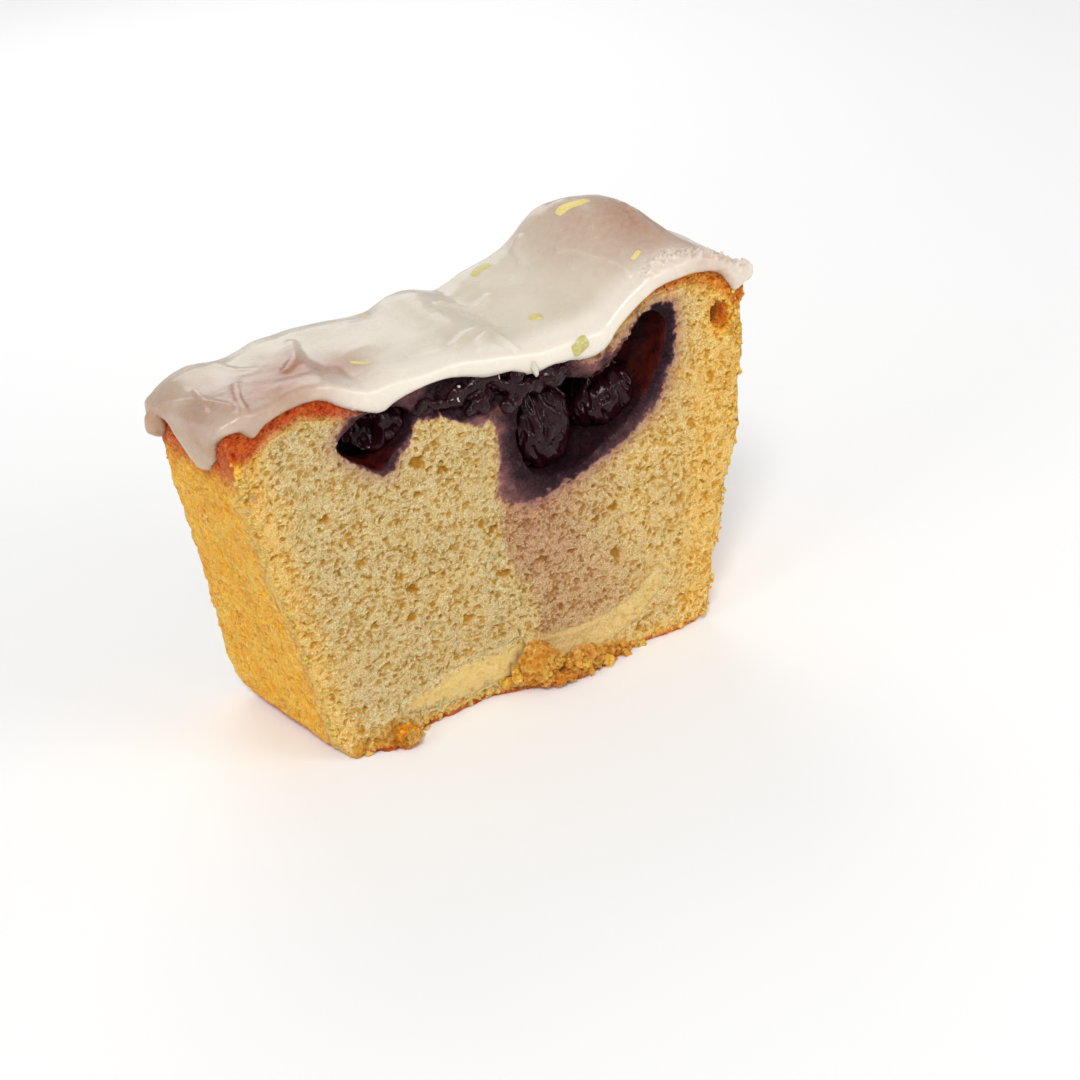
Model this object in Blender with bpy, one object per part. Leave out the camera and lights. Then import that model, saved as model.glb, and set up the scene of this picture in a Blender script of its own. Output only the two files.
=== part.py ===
"""A thick slice cut by hand from an iced lemon loaf that was baked in a tin with blueberries in it.

Run it with blender --background --python part.py, or from Blender's text editor. The model is in metres
with +Z up. The slice stands on the loaf's base: X runs across the loaf, -Y faces the near cut and +Y the far
cut. The origin lies on the base, under the middle of the slice's box. Every length is written in millimetres
and turned into metres by MM or by table(). Inside the functions, positions are measured from the near cut's
own middle, and place() moves them to the origin at the end.
"""

import math

import bmesh
import bpy
from mathutils import Matrix, Vector, noise

MM = 0.001


def table(*rows):
    """Rows given in millimetres, as tuples in metres."""
    return tuple(tuple(value * MM for value in row) for row in rows)


# Where the middle of the slice's box lies, seen from the middle of the near cut
BOX_MIDDLE = Vector((-1.75 * MM, 16.75 * MM, 0.0))

# The tin's shape: x of each crust face at a height. The base is about 90 mm wide and the top about 121 mm
LEFT_FACE = table((0, -44.4), (1.5, -46.0), (5, -47.0), (18, -49.2), (36, -53.1), (53, -56.8), (69, -59.5),
                  (80, -60.6), (83, -59.8))
RIGHT_FACE = table((0, 43.0), (1.5, 45.6), (4, 47.4), (17, 49.3), (20, 51.4), (31, 53.2), (38, 56.2),
                   (45, 58.0), (57, 58.7), (62, 60.2), (67, 59.9), (76, 61.0), (80, 60.6), (83, 59.8))
HALF_TOP = 61.0 * MM
# The slice was cut a little askew: x moves by this share of y
SKEW = -0.105
# Low down, the left crust bulges towards the far cut: by how much, and from all to none between two heights
LEFT_SPREAD, SPREAD_FULL, SPREAD_NONE = 1.5 * MM, 8 * MM, 45 * MM

# Height of the baked top along the near cut and along the far cut, at places across the loaf
NEAR_CREST = table((-61, 81.2), (-59, 82.6), (-55, 82.0), (-51, 82.2), (-45.7, 83.4), (-38.5, 82.6),
                   (-35, 80.6), (-30, 78.6), (-22.5, 78.6), (-12, 78.6), (-5, 77.5), (3, 76), (10, 75),
                   (20, 75), (25, 75.8), (28, 78.4), (32, 80.8), (38, 83.8), (46.7, 84.8), (51.5, 84.2),
                   (57.7, 81.2), (61, 78.6))
FAR_CREST = table((-61, 76.4), (-58.5, 78.8), (-52.5, 80.6), (-45, 80.6), (-38, 82.4), (-34, 82.0),
                  (-29, 82.4), (-21, 82), (-10.5, 81.4), (-5, 83.4), (0, 83.0), (5.2, 80.8), (8, 81.6),
                  (12, 83.6), (18, 84.8), (21.7, 85.6), (25.7, 88.4), (29.7, 91.6), (33.7, 93.2),
                  (39.7, 93.6), (46, 92.4), (50, 90.2), (53.5, 86.2), (57, 83.0), (61, 79.6))
# Above 1, the top climbs faster just behind the near cut than further back
CREST_EASE = 1.6

# y of the far cut at a height: the knife leaned, so the slice is thicker near its base
FAR_FACE = table((0, 34.8), (2, 37.4), (6, 39.2), (12, 39.6), (22, 38.9), (36, 36.6), (50, 34), (65, 31.4),
                 (80, 28.6), (95, 27.4))
# Where the near cut stands out or is torn away: x, height, half width, half height, reach towards -Y
NEAR_RELIEF = table((-34, 0, 5, 5, 4.8), (-44.5, 0, 5, 6, 1.8), (12, 0, 11, 4.5, 4.2), (-10, 0, 6, 5, -1.6),
                    (37, 0, 5, 4, 0.8), (-8, 72.5, 11, 4.2, -2.6), (6, 70.5, 5, 3.5, -1.6))
# Small unevenness all over: size of the bumps and how far they move the surface
BUMP_SIZE, BUMP_HEIGHT = 5.5 * MM, 0.45 * MM
# Places in the noise, far enough apart for the far cut, the top and the icing to be uneven in their own ways
FAR_CUT_NOISE, TOP_NOISE, ICING_NOISE = 0.3, 0.7, 3.0
# How far the noise is read through the slice's depth, and round a lump or a berry
NOISE_DEPTH, LUMP_NOISE, BERRY_NOISE = 0.03, 0.02, 0.01
# y behind the far cut, where the tools that cut right through the slice end
PAST_FAR_CUT = 46 * MM
# Points that a cut leaves closer together than this become one
WELD = 0.02 * MM

# Squares of the slice's grid across, through and up
SPONGE_SQUARES = (32, 7, 20)
ICING_SQUARES = (44, 10, 3)

# The icing: thickness on top and on its lip, and the gap that it keeps to the sponge
ICING_TOP, ICING_LIP, ICING_GAP = 2.5 * MM, 1.9 * MM, 0.45 * MM
# Thickness of the lip's hanging edge, as a share of ICING_LIP, and how deep its body reaches in the sponge
LIP_EDGE, ICING_ROOT = 0.5, 3.5 * MM
# Height of the icing's hanging edge, by x along the two cuts and by y along the two crust faces
NEAR_DRIPS = table((-61.5, 82.2), (-57.5, 81.2), (-55.3, 77.8), (-53.5, 79.8), (-49.7, 81.4),
                   (-43.6, 82.3), (-38.5, 81.6), (-36.8, 79.5), (-31, 76.2), (-26.8, 74.6), (-24, 76.2),
                   (-17, 77.7), (-12, 77.4), (-8, 76.3), (-1.7, 74.2), (2.6, 74.5), (5.4, 73),
                   (7.2, 70.6), (9, 72.4), (14.6, 72.9), (22.8, 72), (25.8, 73.4), (27.6, 76.2),
                   (32.1, 79.6), (36.8, 82.4), (43.6, 83.5), (52, 83), (56.4, 80.8), (57.8, 76),
                   (59.2, 79), (62, 77.3))
LEFT_DRIPS = table((0, 82), (2.2, 79.5), (3.6, 75), (6, 72), (9, 70), (13, 69.2), (16.2, 70.2),
                   (17.5, 74.5), (18.8, 79), (21, 76.4), (23.5, 79), (25.5, 77), (28, 73.6), (31, 72.8))
RIGHT_DRIPS = table((0, 77.3), (4, 75.6), (8, 77), (13, 75.4), (17, 71.6), (20, 74.4), (24, 77), (31, 76.4))
FAR_DRIPS = table((-64, 73), (-52, 78), (-46, 75), (-41, 73.6), (-36, 78), (-22, 79.6), (-14, 78.6),
                  (-8, 75.8), (-3, 79.6), (10, 80.4), (22, 84), (30, 89), (36, 87.4), (42, 89.6),
                  (50, 86), (56, 78.6), (62, 75.6))
# Blobs of icing at the two top corners and in the broad drip: centre and radii
BLOB_ROUGHNESS = 0.3 * MM
ICING_BLOBS = (
    ((-64.7, 27.2, 74.2), (2.1, 2.1, 3.2)),
    ((61.6, 0.2, 79.8), (1.7, 1.9, 2.6)),
    ((-61.4, 11.5, 71.4), (1.9, 3.6, 2.8)),
)
# Strips of lemon zest on the icing: x, y, length, width, and the angle of the strip in degrees
ZEST_STRIPS = ((32, 25.5, 6.4, 2.2, 8), (3.5, 24.5, 5.4, 2.0, 20), (12.5, 6.5, 2.8, 1.8, -10),
               (22.5, 2.6, 4.0, 3.4, 35), (-20.5, 22.5, 2.4, 1.1, 12), (-24.5, 12.5, 4.6, 1.0, 5),
               (40.5, 13.0, 3.4, 1.3, 30))
ZEST_THICK, ZEST_PROUD, ZEST_SQUARES = 1.0 * MM, 0.25 * MM, (4, 2, 1)
# Share of a strip's width that is lost at its two ends, and a height near the top, where the zest lies
ZEST_TAPER, TOP_HEIGHT = 0.25, 85 * MM

# A berry's pocket is a tunnel through the sponge: its outline at the near cut, round a centre
LEFT_POCKET_CENTRE, RIGHT_POCKET_CENTRE = table((-28.4, 68.6), (24, 58.6))
LEFT_POCKET = table((-37.4, 70.2), (-34.4, 72.9), (-31.7, 74.6), (-25, 74.9), (-18.6, 72.2), (-20, 68.8),
                    (-25.4, 64.5), (-27.8, 61.7), (-31.6, 63.8), (-36.2, 67.6))
RIGHT_POCKET = table((38.6, 79), (41.8, 75.7), (41.7, 71.6), (39.8, 66.4), (37.4, 62.3), (33.2, 57),
                     (27.3, 53), (22, 50), (15.5, 47.4), (8.6, 47.4), (4.4, 51), (3.0, 58.9), (4.2, 65.6),
                     (8, 69.6), (14.1, 70.6), (18.6, 67.2), (24.7, 66.4), (28, 69.2), (30.6, 70.4),
                     (33.6, 75.6))
# Its outline at the far cut is an ellipse: centre, then half width and half height
LEFT_POCKET_FAR = table((-27, 66.5, 9.5, 6.5))[0]
RIGHT_POCKET_FAR = table((16, 60, 13, 8.5))[0]
POCKET_SIDES, POCKET_NEAR, POCKET_FAR = 26, 6 * MM, 19 * MM
POCKET_RINGS = (*table((-9, 6, 10, 14, 19))[0], PAST_FAR_CUT)
# The tunnel's own roughness, read from the noise at this distance from its middle
POCKET_ROUGHNESS, POCKET_NOISE = 0.4 * MM, 0.01
# How much smaller the fillings are than their pocket, all round
POCKET_GAP = 0.45 * MM

# Each collapsed berry: centre, radii and tilt in degrees about Y
BERRIES = {
    "berry_near_left": ((-26.6, 9.6, 68.0), (10.5, 7.8, 8.0), 10),
    "berry_near_low": ((11.0, 8.9, 56.6), (8.6, 7.6, 11.2), 4),
    "berry_near_high": ((28.4, 9.4, 58.0), (8.4, 7.2, 6.8), -20),
    "berry_far_left": ((-27.0, 27.2, 66.5), (10.5, 9.0, 7.5), 0),
    "berry_far_right": ((16.0, 27.6, 60.0), (14.0, 9.0, 9.5), -8),
}
BERRY_SIDES, BERRY_RINGS = 16, 9
# Folds of a berry's skin: how many, how far they stand out and how much they wander, in radians
BERRY_FOLDS, FOLD_HEIGHT, FOLD_WANDER = 5, 0.5 * MM, 5.0
# The left berry is torn open: the hollow scooped out of it
TORN_HOLLOW = ((-32.4, 0.5, 68.0), (5.6, 6.6, 5.2))
TORN_ROUGHNESS = 0.2 * MM

# The dense lemon layer near the base: its lower and upper edge at places across the loaf
LAYER_LOW = table((-31, 6.4), (-24, 4.8), (-12, 4.6), (0, 5.0), (12, 4.6), (24, 6.0), (29, 8.6),
                  (34.5, 13.2))
LAYER_HIGH = table((-31, 7.4), (-24, 9.4), (-12, 10.8), (-4, 11.8), (8, 9.6), (24, 10.4), (29, 12.6),
                   (34.5, 15.6))
LAYER_SQUARES, LAYER_GAP, LAYER_MARGIN = (14, 2, 1), 0.3 * MM, 0.7 * MM
# How far the layer has risen by the far cut
LAYER_RISE = 1.5 * MM

# Torn lumps of crust and crumb at the foot of the near cut: centre and radii
FOOT_LUMPS = (
    ((1.0, -1.6, 6.3), (5.6, 3.6, 4.9)),
    ((11.5, -2.4, 4.6), (5.0, 3.0, 3.2)),
    ((7.0, -3.0, 2.3), (9.5, 3.4, 2.2)),
    ((-32.5, -4.6, 2.4), (3.6, 2.2, 2.2)),
)
LUMP_ROUGHNESS = 0.9 * MM
# No lump reaches lower than this, so that only the flat base touches what the slice stands on
FOOT_CLEARANCE = 0.05 * MM
# Large holes in the crumb: centre and radii
HOLE_ROUGHNESS = 0.3 * MM
BIG_HOLES = (
    ((54.0, 0.0, 71.6), (2.2, 4.5, 4.4)),
    ((-57.4, 0.0, 64.4), (1.7, 3.0, 2.6)),
    ((-25.5, 0.0, 33.6), (1.5, 2.2, 1.6)),
    ((23.6, 0.0, 24.9), (1.4, 2.0, 1.7)),
    ((44.9, 0.0, 48.3), (1.1, 2.0, 1.9)),
)

# Finishes: base colour, roughness
FINISHES = {
    "sponge": ((0.80, 0.62, 0.27), 0.85),
    "icing": ((0.86, 0.83, 0.76), 0.30),
    "berry": ((0.035, 0.012, 0.035), 0.22),
    "lemon": ((0.66, 0.50, 0.14), 0.50),
}


def along(stations, at):
    """Value at a place on the smooth curve through (place, value) stations, level past its ends."""
    if at <= stations[0][0]:
        return stations[0][1]
    if at >= stations[-1][0]:
        return stations[-1][1]
    last = len(stations) - 1
    i = max(k for k in range(last) if stations[k][0] <= at)
    before, here, there, after = (stations[min(max(k, 0), last)] for k in (i - 1, i, i + 1, i + 2))
    span = there[0] - here[0]
    t = (at - here[0]) / span
    leave = span * (there[1] - before[1]) / (there[0] - before[0])
    arrive = span * (after[1] - here[1]) / (after[0] - here[0])
    t2, t3 = t * t, t * t * t
    return ((2 * t3 - 3 * t2 + 1) * here[1] + (t3 - 2 * t2 + t) * leave
            + (3 * t2 - 2 * t3) * there[1] + (t3 - t2) * arrive)


def mix(a, b, share):
    return a + (b - a) * share


def eased(low, high, at):
    """0 up to low, 1 from high on, with a soft step between."""
    t = min(max((at - low) / (high - low), 0.0), 1.0)
    return t * t * (3 - 2 * t)


def bump(x, y, z, size=BUMP_SIZE):
    """Smooth unevenness from -1 to 1 at a place, the same each run."""
    return noise.noise(Vector((x, y, z)) / size)


def near_face(x, z):
    """y of the near cut at x and a height."""
    y = BUMP_HEIGHT * bump(x, 0, z)
    for cx, cz, half_x, half_z, reach in NEAR_RELIEF:
        y -= reach * math.exp(-((x - cx) / half_x) ** 2 - ((z - cz) / half_z) ** 2)
    return y


def far_face(x, z):
    """y of the far cut at x and a height."""
    return along(FAR_FACE, z) + BUMP_HEIGHT * 1.5 * bump(x, FAR_CUT_NOISE, z, BUMP_SIZE * 1.6)


def crest(u, depth):
    """Height of the baked top, u from -1 at the left crust to 1 at the right, depth from 0 near to 1 far."""
    climb = 1 - (1 - depth) ** CREST_EASE
    place = u * HALF_TOP
    height = mix(along(NEAR_CREST, place), along(FAR_CREST, place), climb)
    return height + BUMP_HEIGHT * 1.6 * bump(place, depth * NOISE_DEPTH, TOP_NOISE, BUMP_SIZE * 2)


def slice_point(u, depth, z):
    """The point at u across and depth through the slice, at a height."""
    x = mix(along(LEFT_FACE, z), along(RIGHT_FACE, z), (u + 1) / 2)
    if u < 0:
        x += u * LEFT_SPREAD * math.sqrt(max(depth, 0)) * (1 - eased(SPREAD_FULL, SPREAD_NONE, z))
    rim = abs(u) ** 12
    x += math.copysign(rim * BUMP_HEIGHT * bump(u, depth * NOISE_DEPTH, z), u)
    y = mix(near_face(x, z), far_face(x, z), depth)
    return Vector((x + SKEW * y, y, z))


def sponge_point(u, v, w):
    depth = (v + 1) / 2
    return slice_point(u, depth, crest(u, depth) * (w + 1) / 2)


def drip_height(u, depth, top):
    """Height of the icing's hanging edge on the slice's rim, and just under the top inside it."""
    edge = slice_point(u, depth, top)
    if abs(u) < 0.999 and 0.001 < depth < 0.999:
        return top - ICING_ROOT
    if depth <= 0.001:
        low = along(NEAR_DRIPS, edge.x)
    elif depth >= 0.999:
        low = along(FAR_DRIPS, edge.x)
    else:
        low = along(LEFT_DRIPS if u < 0 else RIGHT_DRIPS, edge.y)
    return min(low, top - 0.3 * MM)


def icing_thickness(x, y):
    """Thickness of the icing on the slice's top, which is a quarter thicker or thinner in places."""
    return ICING_TOP * (1 + 0.25 * bump(x, y, ICING_NOISE, BUMP_SIZE * 2.5))


def icing_point(u, v, w):
    """The icing's outer skin: from the hanging edge at w = -1 over the slice's top at w = 1."""
    depth, level = (v + 1) / 2, (w + 1) / 2
    top = crest(u, depth)
    low = drip_height(u, depth, top)
    point = slice_point(u, depth, mix(low, top, level))
    out = Vector((
        math.copysign(1, u) if abs(u) > 0.999 else 0.0,
        math.copysign(1, v) if abs(v) > 0.999 else 0.0,
        1.0 if level > 0.999 else 0.0,
    ))
    if out.length == 0:
        return point
    lip = ICING_LIP * mix(LIP_EDGE, 1, eased(0, 0.5, level))
    return point + out.normalized() * (icing_thickness(point.x, point.y) if out.z > 0 else lip)


def gridded_box(name, squares, shape):
    """A closed box whose faces are grids, each point from -1 to 1 moved to shape(u, v, w)."""
    work = bmesh.new()
    bmesh.ops.create_cube(work, size=2)
    for axis, count in enumerate(squares):
        edges = [e for e in work.edges if abs((e.verts[0].co - e.verts[1].co)[axis]) > 0.001]
        bmesh.ops.subdivide_edges(work, edges=edges, cuts=count - 1, use_grid_fill=True)
    for vert in work.verts:
        vert.co = shape(*vert.co)
    return finished(name, work)


def finished(name, work):
    """An object from a bmesh whose faces are all triangles pointing out."""
    bmesh.ops.triangulate(work, faces=work.faces[:])
    bmesh.ops.recalc_face_normals(work, faces=work.faces[:])
    mesh = bpy.data.meshes.new(name)
    work.to_mesh(mesh)
    work.free()
    return bpy.data.objects.new(name, mesh)


def swollen(name, source, distance):
    """A copy of an object with every point moved out along its normal."""
    work = bmesh.new()
    work.from_mesh(source.data)
    work.normal_update()
    moved = [(vert, vert.co + vert.normal * distance) for vert in work.verts]
    for vert, place in moved:
        vert.co = place
    return finished(name, work)


def lump(name, centre, radii, tilt=0, roughness=LUMP_ROUGHNESS, detail=1):
    """A rough pebble, its sizes in millimetres and its tilt in degrees about Y."""
    work = bmesh.new()
    bmesh.ops.create_icosphere(work, subdivisions=detail, radius=1)
    turn = Matrix.Rotation(math.radians(tilt), 3, "Y")
    middle = Vector(centre) * MM
    for vert in work.verts:
        out = vert.co.normalized()
        rough = roughness * bump(*(middle + out * LUMP_NOISE), BUMP_SIZE * 0.8)
        stretched = Vector(a * b * MM for a, b in zip(out, radii))
        vert.co = middle + turn @ (stretched + out * rough)
        vert.co.z = max(vert.co.z, FOOT_CLEARANCE)
    return finished(name, work)


def berry_shape(name, centre, radii, tilt):
    """A collapsed berry: a ball whose skin has sunk into folds that run from pole to pole."""
    work = bmesh.new()
    bmesh.ops.create_uvsphere(work, u_segments=BERRY_SIDES, v_segments=BERRY_RINGS, radius=1)
    turn = Matrix.Rotation(math.radians(tilt), 3, "Y")
    middle = Vector(centre) * MM
    for vert in work.verts:
        out = vert.co.normalized()
        around = math.atan2(out.y, out.x)
        belt = math.hypot(out.x, out.y)
        wander = FOLD_WANDER * bump(*(middle + out * BERRY_NOISE))
        fold = math.sin(BERRY_FOLDS * around + wander) * belt
        stretched = Vector(a * b * MM for a, b in zip(out, radii))
        vert.co = middle + turn @ (stretched + out * FOLD_HEIGHT * fold)
    return finished(name, work)


def radius_at(outline, centre, angle):
    """Distance from a centre to a closed outline of (x, height) points, in a direction."""
    ray = (math.cos(angle), math.sin(angle))
    best = 0.0
    for (ax, az), (bx, bz) in zip(outline, outline[1:] + outline[:1]):
        dx, dz = bx - ax, bz - az
        ax, az = ax - centre[0], az - centre[1]
        cross = ray[0] * dz - ray[1] * dx
        if abs(cross) < 1e-12:
            continue
        far = (ax * dz - az * dx) / cross
        share = (ax * ray[1] - az * ray[0]) / cross
        if far > best and -1e-6 <= share <= 1 + 1e-6:
            best = far
    return best


def pocket(name, outline, centre, far_ellipse, gap):
    """The tunnel of one pocket, less a gap all round: rings along Y, joined and capped."""
    work = bmesh.new()
    half_wide, half_high = far_ellipse[2:]
    rings = []
    for y in POCKET_RINGS:
        share = eased(POCKET_NEAR, POCKET_FAR, y)
        cx = mix(centre[0], far_ellipse[0], share) + SKEW * max(y, 0)
        cz = mix(centre[1], far_ellipse[1], share)
        ring = []
        for k in range(POCKET_SIDES):
            angle = 2 * math.pi * k / POCKET_SIDES
            across, up = math.cos(angle), math.sin(angle)
            oval = half_wide * half_high / math.hypot(half_high * across, half_wide * up)
            radius = mix(radius_at(outline, centre, angle), oval, share) - gap
            radius += POCKET_ROUGHNESS * bump(cx + across * POCKET_NOISE, y, cz + up * POCKET_NOISE)
            ring.append(work.verts.new((cx + radius * across, y, cz + radius * up)))
        rings.append(ring)
    for ring, following in zip(rings, rings[1:]):
        for k in range(POCKET_SIDES):
            after = (k + 1) % POCKET_SIDES
            work.faces.new((ring[k], ring[after], following[after], following[k]))
    work.faces.new(rings[0])
    work.faces.new(rings[-1])
    return finished(name, work)


def layer_box(name, gap, margin):
    """The lemon layer's lens, swollen by gap, from margin before the near cut to past the far cut."""
    first, last = LAYER_LOW[0][0] - gap, LAYER_LOW[-1][0] + gap

    def shape(u, v, w):
        x = mix(first, last, (u + 1) / 2)
        edge = along(LAYER_LOW, x) - gap if w < 0 else along(LAYER_HIGH, x) + gap
        depth = (v + 1) / 2
        z = edge + LAYER_RISE * depth
        y = mix(near_face(x, z) - margin, PAST_FAR_CUT, depth)
        return Vector((x + SKEW * y, y, z))

    return gridded_box(name, LAYER_SQUARES, shape)


def zest_strip(name, x, y, length, width, angle):
    """A strip of peel bedded in the icing's top, its sizes in millimetres."""
    x, y, length, width = x * MM, y * MM, length * MM, width * MM
    turn = Matrix.Rotation(math.radians(angle), 3, "Z")

    def icing_height(px, py):
        depth = min(max(py / along(FAR_FACE, TOP_HEIGHT), 0.0), 1.0)
        u = (px - SKEW * py) / HALF_TOP
        return crest(u, depth) + icing_thickness(px, py)

    def shape(u, v, w):
        flat = turn @ Vector((u * length / 2, v * width / 2 * (1 - ZEST_TAPER * u * u), 0))
        px, py = x + flat.x, y + flat.y
        return Vector((px, py, icing_height(px, py) + ZEST_PROUD - (1 - w) / 2 * ZEST_THICK))

    return gridded_box(name, ZEST_SQUARES, shape)


def boolean(target, operation, tool):
    """Adds an exact Boolean to an object, with an object or a collection as its tool."""
    step = target.modifiers.new(operation.title(), "BOOLEAN")
    step.operation = operation
    step.solver = "EXACT"
    if isinstance(tool, bpy.types.Collection):
        step.operand_type = "COLLECTION"
        step.collection = tool
    else:
        step.object = tool


def applied(target):
    """Makes an object's evaluated mesh its own: welded, with no flat folds and no modifiers left."""
    bpy.context.view_layer.update()
    evaluated = target.evaluated_get(bpy.context.evaluated_depsgraph_get())
    mesh = bpy.data.meshes.new_from_object(evaluated)
    mesh.name = target.name
    work = bmesh.new()
    work.from_mesh(mesh)
    bmesh.ops.remove_doubles(work, verts=work.verts[:], dist=WELD)
    bmesh.ops.triangulate(work, faces=work.faces[:])
    twins = {}
    for face in work.faces:
        twins.setdefault(frozenset(face.verts), []).append(face)
    folded = [face for same in twins.values() if len(same) > 1 for face in same]
    bmesh.ops.delete(work, geom=folded, context="FACES")
    work.to_mesh(mesh)
    work.free()
    target.modifiers.clear()
    target.data = mesh


def fuse(target, additions):
    """Joins a collection's objects to one object and removes them."""
    boolean(target, "UNION", additions)
    applied(target)
    for item in list(additions.objects):
        bpy.data.objects.remove(item, do_unlink=True)
    bpy.data.collections.remove(additions)


def collection(name, items=()):
    """A new collection in the scene, holding the items."""
    group = bpy.data.collections.new(name)
    bpy.context.scene.collection.children.link(group)
    for item in items:
        group.objects.link(item)
    return group


def material(name):
    """A plain finish for one kind of piece."""
    colour, roughness = FINISHES[name]
    finish = bpy.data.materials.new(name)
    finish.use_nodes = True
    shader = finish.node_tree.nodes["Principled BSDF"]
    shader.inputs["Base Color"].default_value = (*colour, 1)
    shader.inputs["Roughness"].default_value = roughness
    return finish


def place(target, finish):
    """Moves a piece from the near cut's middle to the origin and gives it its finish."""
    target.data.transform(Matrix.Translation(-BOX_MIDDLE))
    target.data.materials.clear()
    target.data.materials.append(finish)
    target.data.shade_smooth()
    target.data.set_sharp_from_angle(angle=math.radians(40))


def make_sponge(envelope, tools):
    """The crumb and its crust: torn lumps fused on, then pockets, the layer's slot and big holes cut."""
    sponge = bpy.data.objects.new("sponge", envelope.data.copy())
    bpy.context.scene.collection.objects.link(sponge)
    lumps = [lump(f"foot_lump_{i}", *sizes, detail=1 if i else 2) for i, sizes in enumerate(FOOT_LUMPS)]
    fuse(sponge, collection("foot_lumps", lumps))
    boolean(sponge, "DIFFERENCE", tools)
    applied(sponge)
    bpy.context.scene.collection.objects.unlink(sponge)
    return sponge


def make_icing(envelope):
    """The icing: its outer skin less the sponge, with the corner blobs and the zest fused on."""
    icing = gridded_box("icing", ICING_SQUARES, icing_point)
    bpy.context.scene.collection.objects.link(icing)
    core = swollen("icing_core", envelope, ICING_GAP)
    guides = collection("icing_guides", [core])
    boolean(icing, "DIFFERENCE", core)
    applied(icing)
    blobs = [lump(f"blob_{i}", *sizes, roughness=BLOB_ROUGHNESS) for i, sizes in enumerate(ICING_BLOBS)]
    strips = [zest_strip(f"zest_{i}", *strip) for i, strip in enumerate(ZEST_STRIPS)]
    fuse(icing, collection("on_the_icing", blobs + strips))
    boolean(icing, "DIFFERENCE", core)
    applied(icing)
    bpy.data.objects.remove(core, do_unlink=True)
    bpy.data.collections.remove(guides)
    bpy.context.scene.collection.objects.unlink(icing)
    return icing


def make_berries(envelope):
    """The five collapsed berries, each trimmed to its pocket and to the cut faces."""
    fits = {
        "left": pocket("left_fit", LEFT_POCKET, LEFT_POCKET_CENTRE, LEFT_POCKET_FAR, POCKET_GAP),
        "right": pocket("right_fit", RIGHT_POCKET, RIGHT_POCKET_CENTRE, RIGHT_POCKET_FAR, POCKET_GAP),
    }
    hollow = lump("torn_hollow", *TORN_HOLLOW, roughness=TORN_ROUGHNESS, detail=2)
    guides = collection("berry_guides", [*fits.values(), hollow])
    berries = []
    for name, (centre, radii, tilt) in BERRIES.items():
        berry = berry_shape(name, centre, radii, tilt)
        bpy.context.scene.collection.objects.link(berry)
        boolean(berry, "INTERSECT", fits["left" if "left" in name else "right"])
        boolean(berry, "INTERSECT", envelope)
        if name == "berry_near_left":
            boolean(berry, "DIFFERENCE", hollow)
        applied(berry)
        bpy.context.scene.collection.objects.unlink(berry)
        berries.append(berry)
    for guide in list(guides.objects):
        bpy.data.objects.remove(guide, do_unlink=True)
    bpy.data.collections.remove(guides)
    return berries


def make_layer(envelope):
    """The dense lemon layer, cut flush with both cut faces."""
    layer = layer_box("lemon_layer", 0, LAYER_MARGIN)
    bpy.context.scene.collection.objects.link(layer)
    boolean(layer, "INTERSECT", envelope)
    applied(layer)
    bpy.context.scene.collection.objects.unlink(layer)
    return layer


def main():
    for item in list(bpy.data.objects):
        bpy.data.objects.remove(item, do_unlink=True)
    envelope = gridded_box("slice_envelope", SPONGE_SQUARES, sponge_point)
    tools = collection("cutters", [
        pocket("left_pocket", LEFT_POCKET, LEFT_POCKET_CENTRE, LEFT_POCKET_FAR, 0),
        pocket("right_pocket", RIGHT_POCKET, RIGHT_POCKET_CENTRE, RIGHT_POCKET_FAR, 0),
        layer_box("layer_slot", LAYER_GAP, LAYER_MARGIN + LAYER_GAP),
        *[lump(f"big_hole_{i}", *sizes, roughness=HOLE_ROUGHNESS) for i, sizes in enumerate(BIG_HOLES)],
    ])
    guide = collection("guides", [envelope])
    sponge = make_sponge(envelope, tools)
    icing = make_icing(envelope)
    berries = make_berries(envelope)
    layer = make_layer(envelope)
    for tool in [*tools.objects, *guide.objects]:
        tool.data.transform(Matrix.Translation(-BOX_MIDDLE))
        tool.hide_render = True
        tool.display_type = "WIRE"
    parts = collection("lemon_loaf_slice", [sponge, icing, layer, *berries])
    finishes = {name: material(name) for name in FINISHES}
    place(sponge, finishes["sponge"])
    place(icing, finishes["icing"])
    place(layer, finishes["lemon"])
    for berry in berries:
        place(berry, finishes["berry"])
    return parts


main()
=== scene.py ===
"""The finished look of a thick slice of iced lemon loaf with blueberries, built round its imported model.

It is laid out as a Blender 4.5 add-on and run as a script. The slice stands on Z = 0 with its near cut facing
-Y, in metres. Tables of places are in millimetres and are turned into metres where they are used.
"""

import math

import bpy
import numpy as np
from mathutils import Matrix, Vector
from mathutils.bvhtree import BVHTree


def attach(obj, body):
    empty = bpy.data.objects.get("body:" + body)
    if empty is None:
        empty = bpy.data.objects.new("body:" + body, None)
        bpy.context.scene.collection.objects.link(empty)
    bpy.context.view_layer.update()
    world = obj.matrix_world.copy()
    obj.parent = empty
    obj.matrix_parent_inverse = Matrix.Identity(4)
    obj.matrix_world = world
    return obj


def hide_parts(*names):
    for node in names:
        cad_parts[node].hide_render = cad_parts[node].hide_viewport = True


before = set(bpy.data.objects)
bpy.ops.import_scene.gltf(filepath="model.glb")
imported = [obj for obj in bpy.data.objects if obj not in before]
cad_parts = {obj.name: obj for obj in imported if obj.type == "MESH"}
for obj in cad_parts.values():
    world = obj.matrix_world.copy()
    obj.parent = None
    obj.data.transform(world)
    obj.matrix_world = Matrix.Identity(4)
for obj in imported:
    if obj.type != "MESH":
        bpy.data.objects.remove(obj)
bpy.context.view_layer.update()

bl_info = {
    "name": "Iced Lemon Loaf Slice",
    "version": (1, 0, 0),
    "blender": (4, 5, 0),
    "location": "3D View > Sidebar > Loaf Slice",
    "description": "Makes the crumb, crust, icing, berries and zest of a cut loaf round its packed model",
    "category": "Object",
}

MM = 0.001

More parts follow.
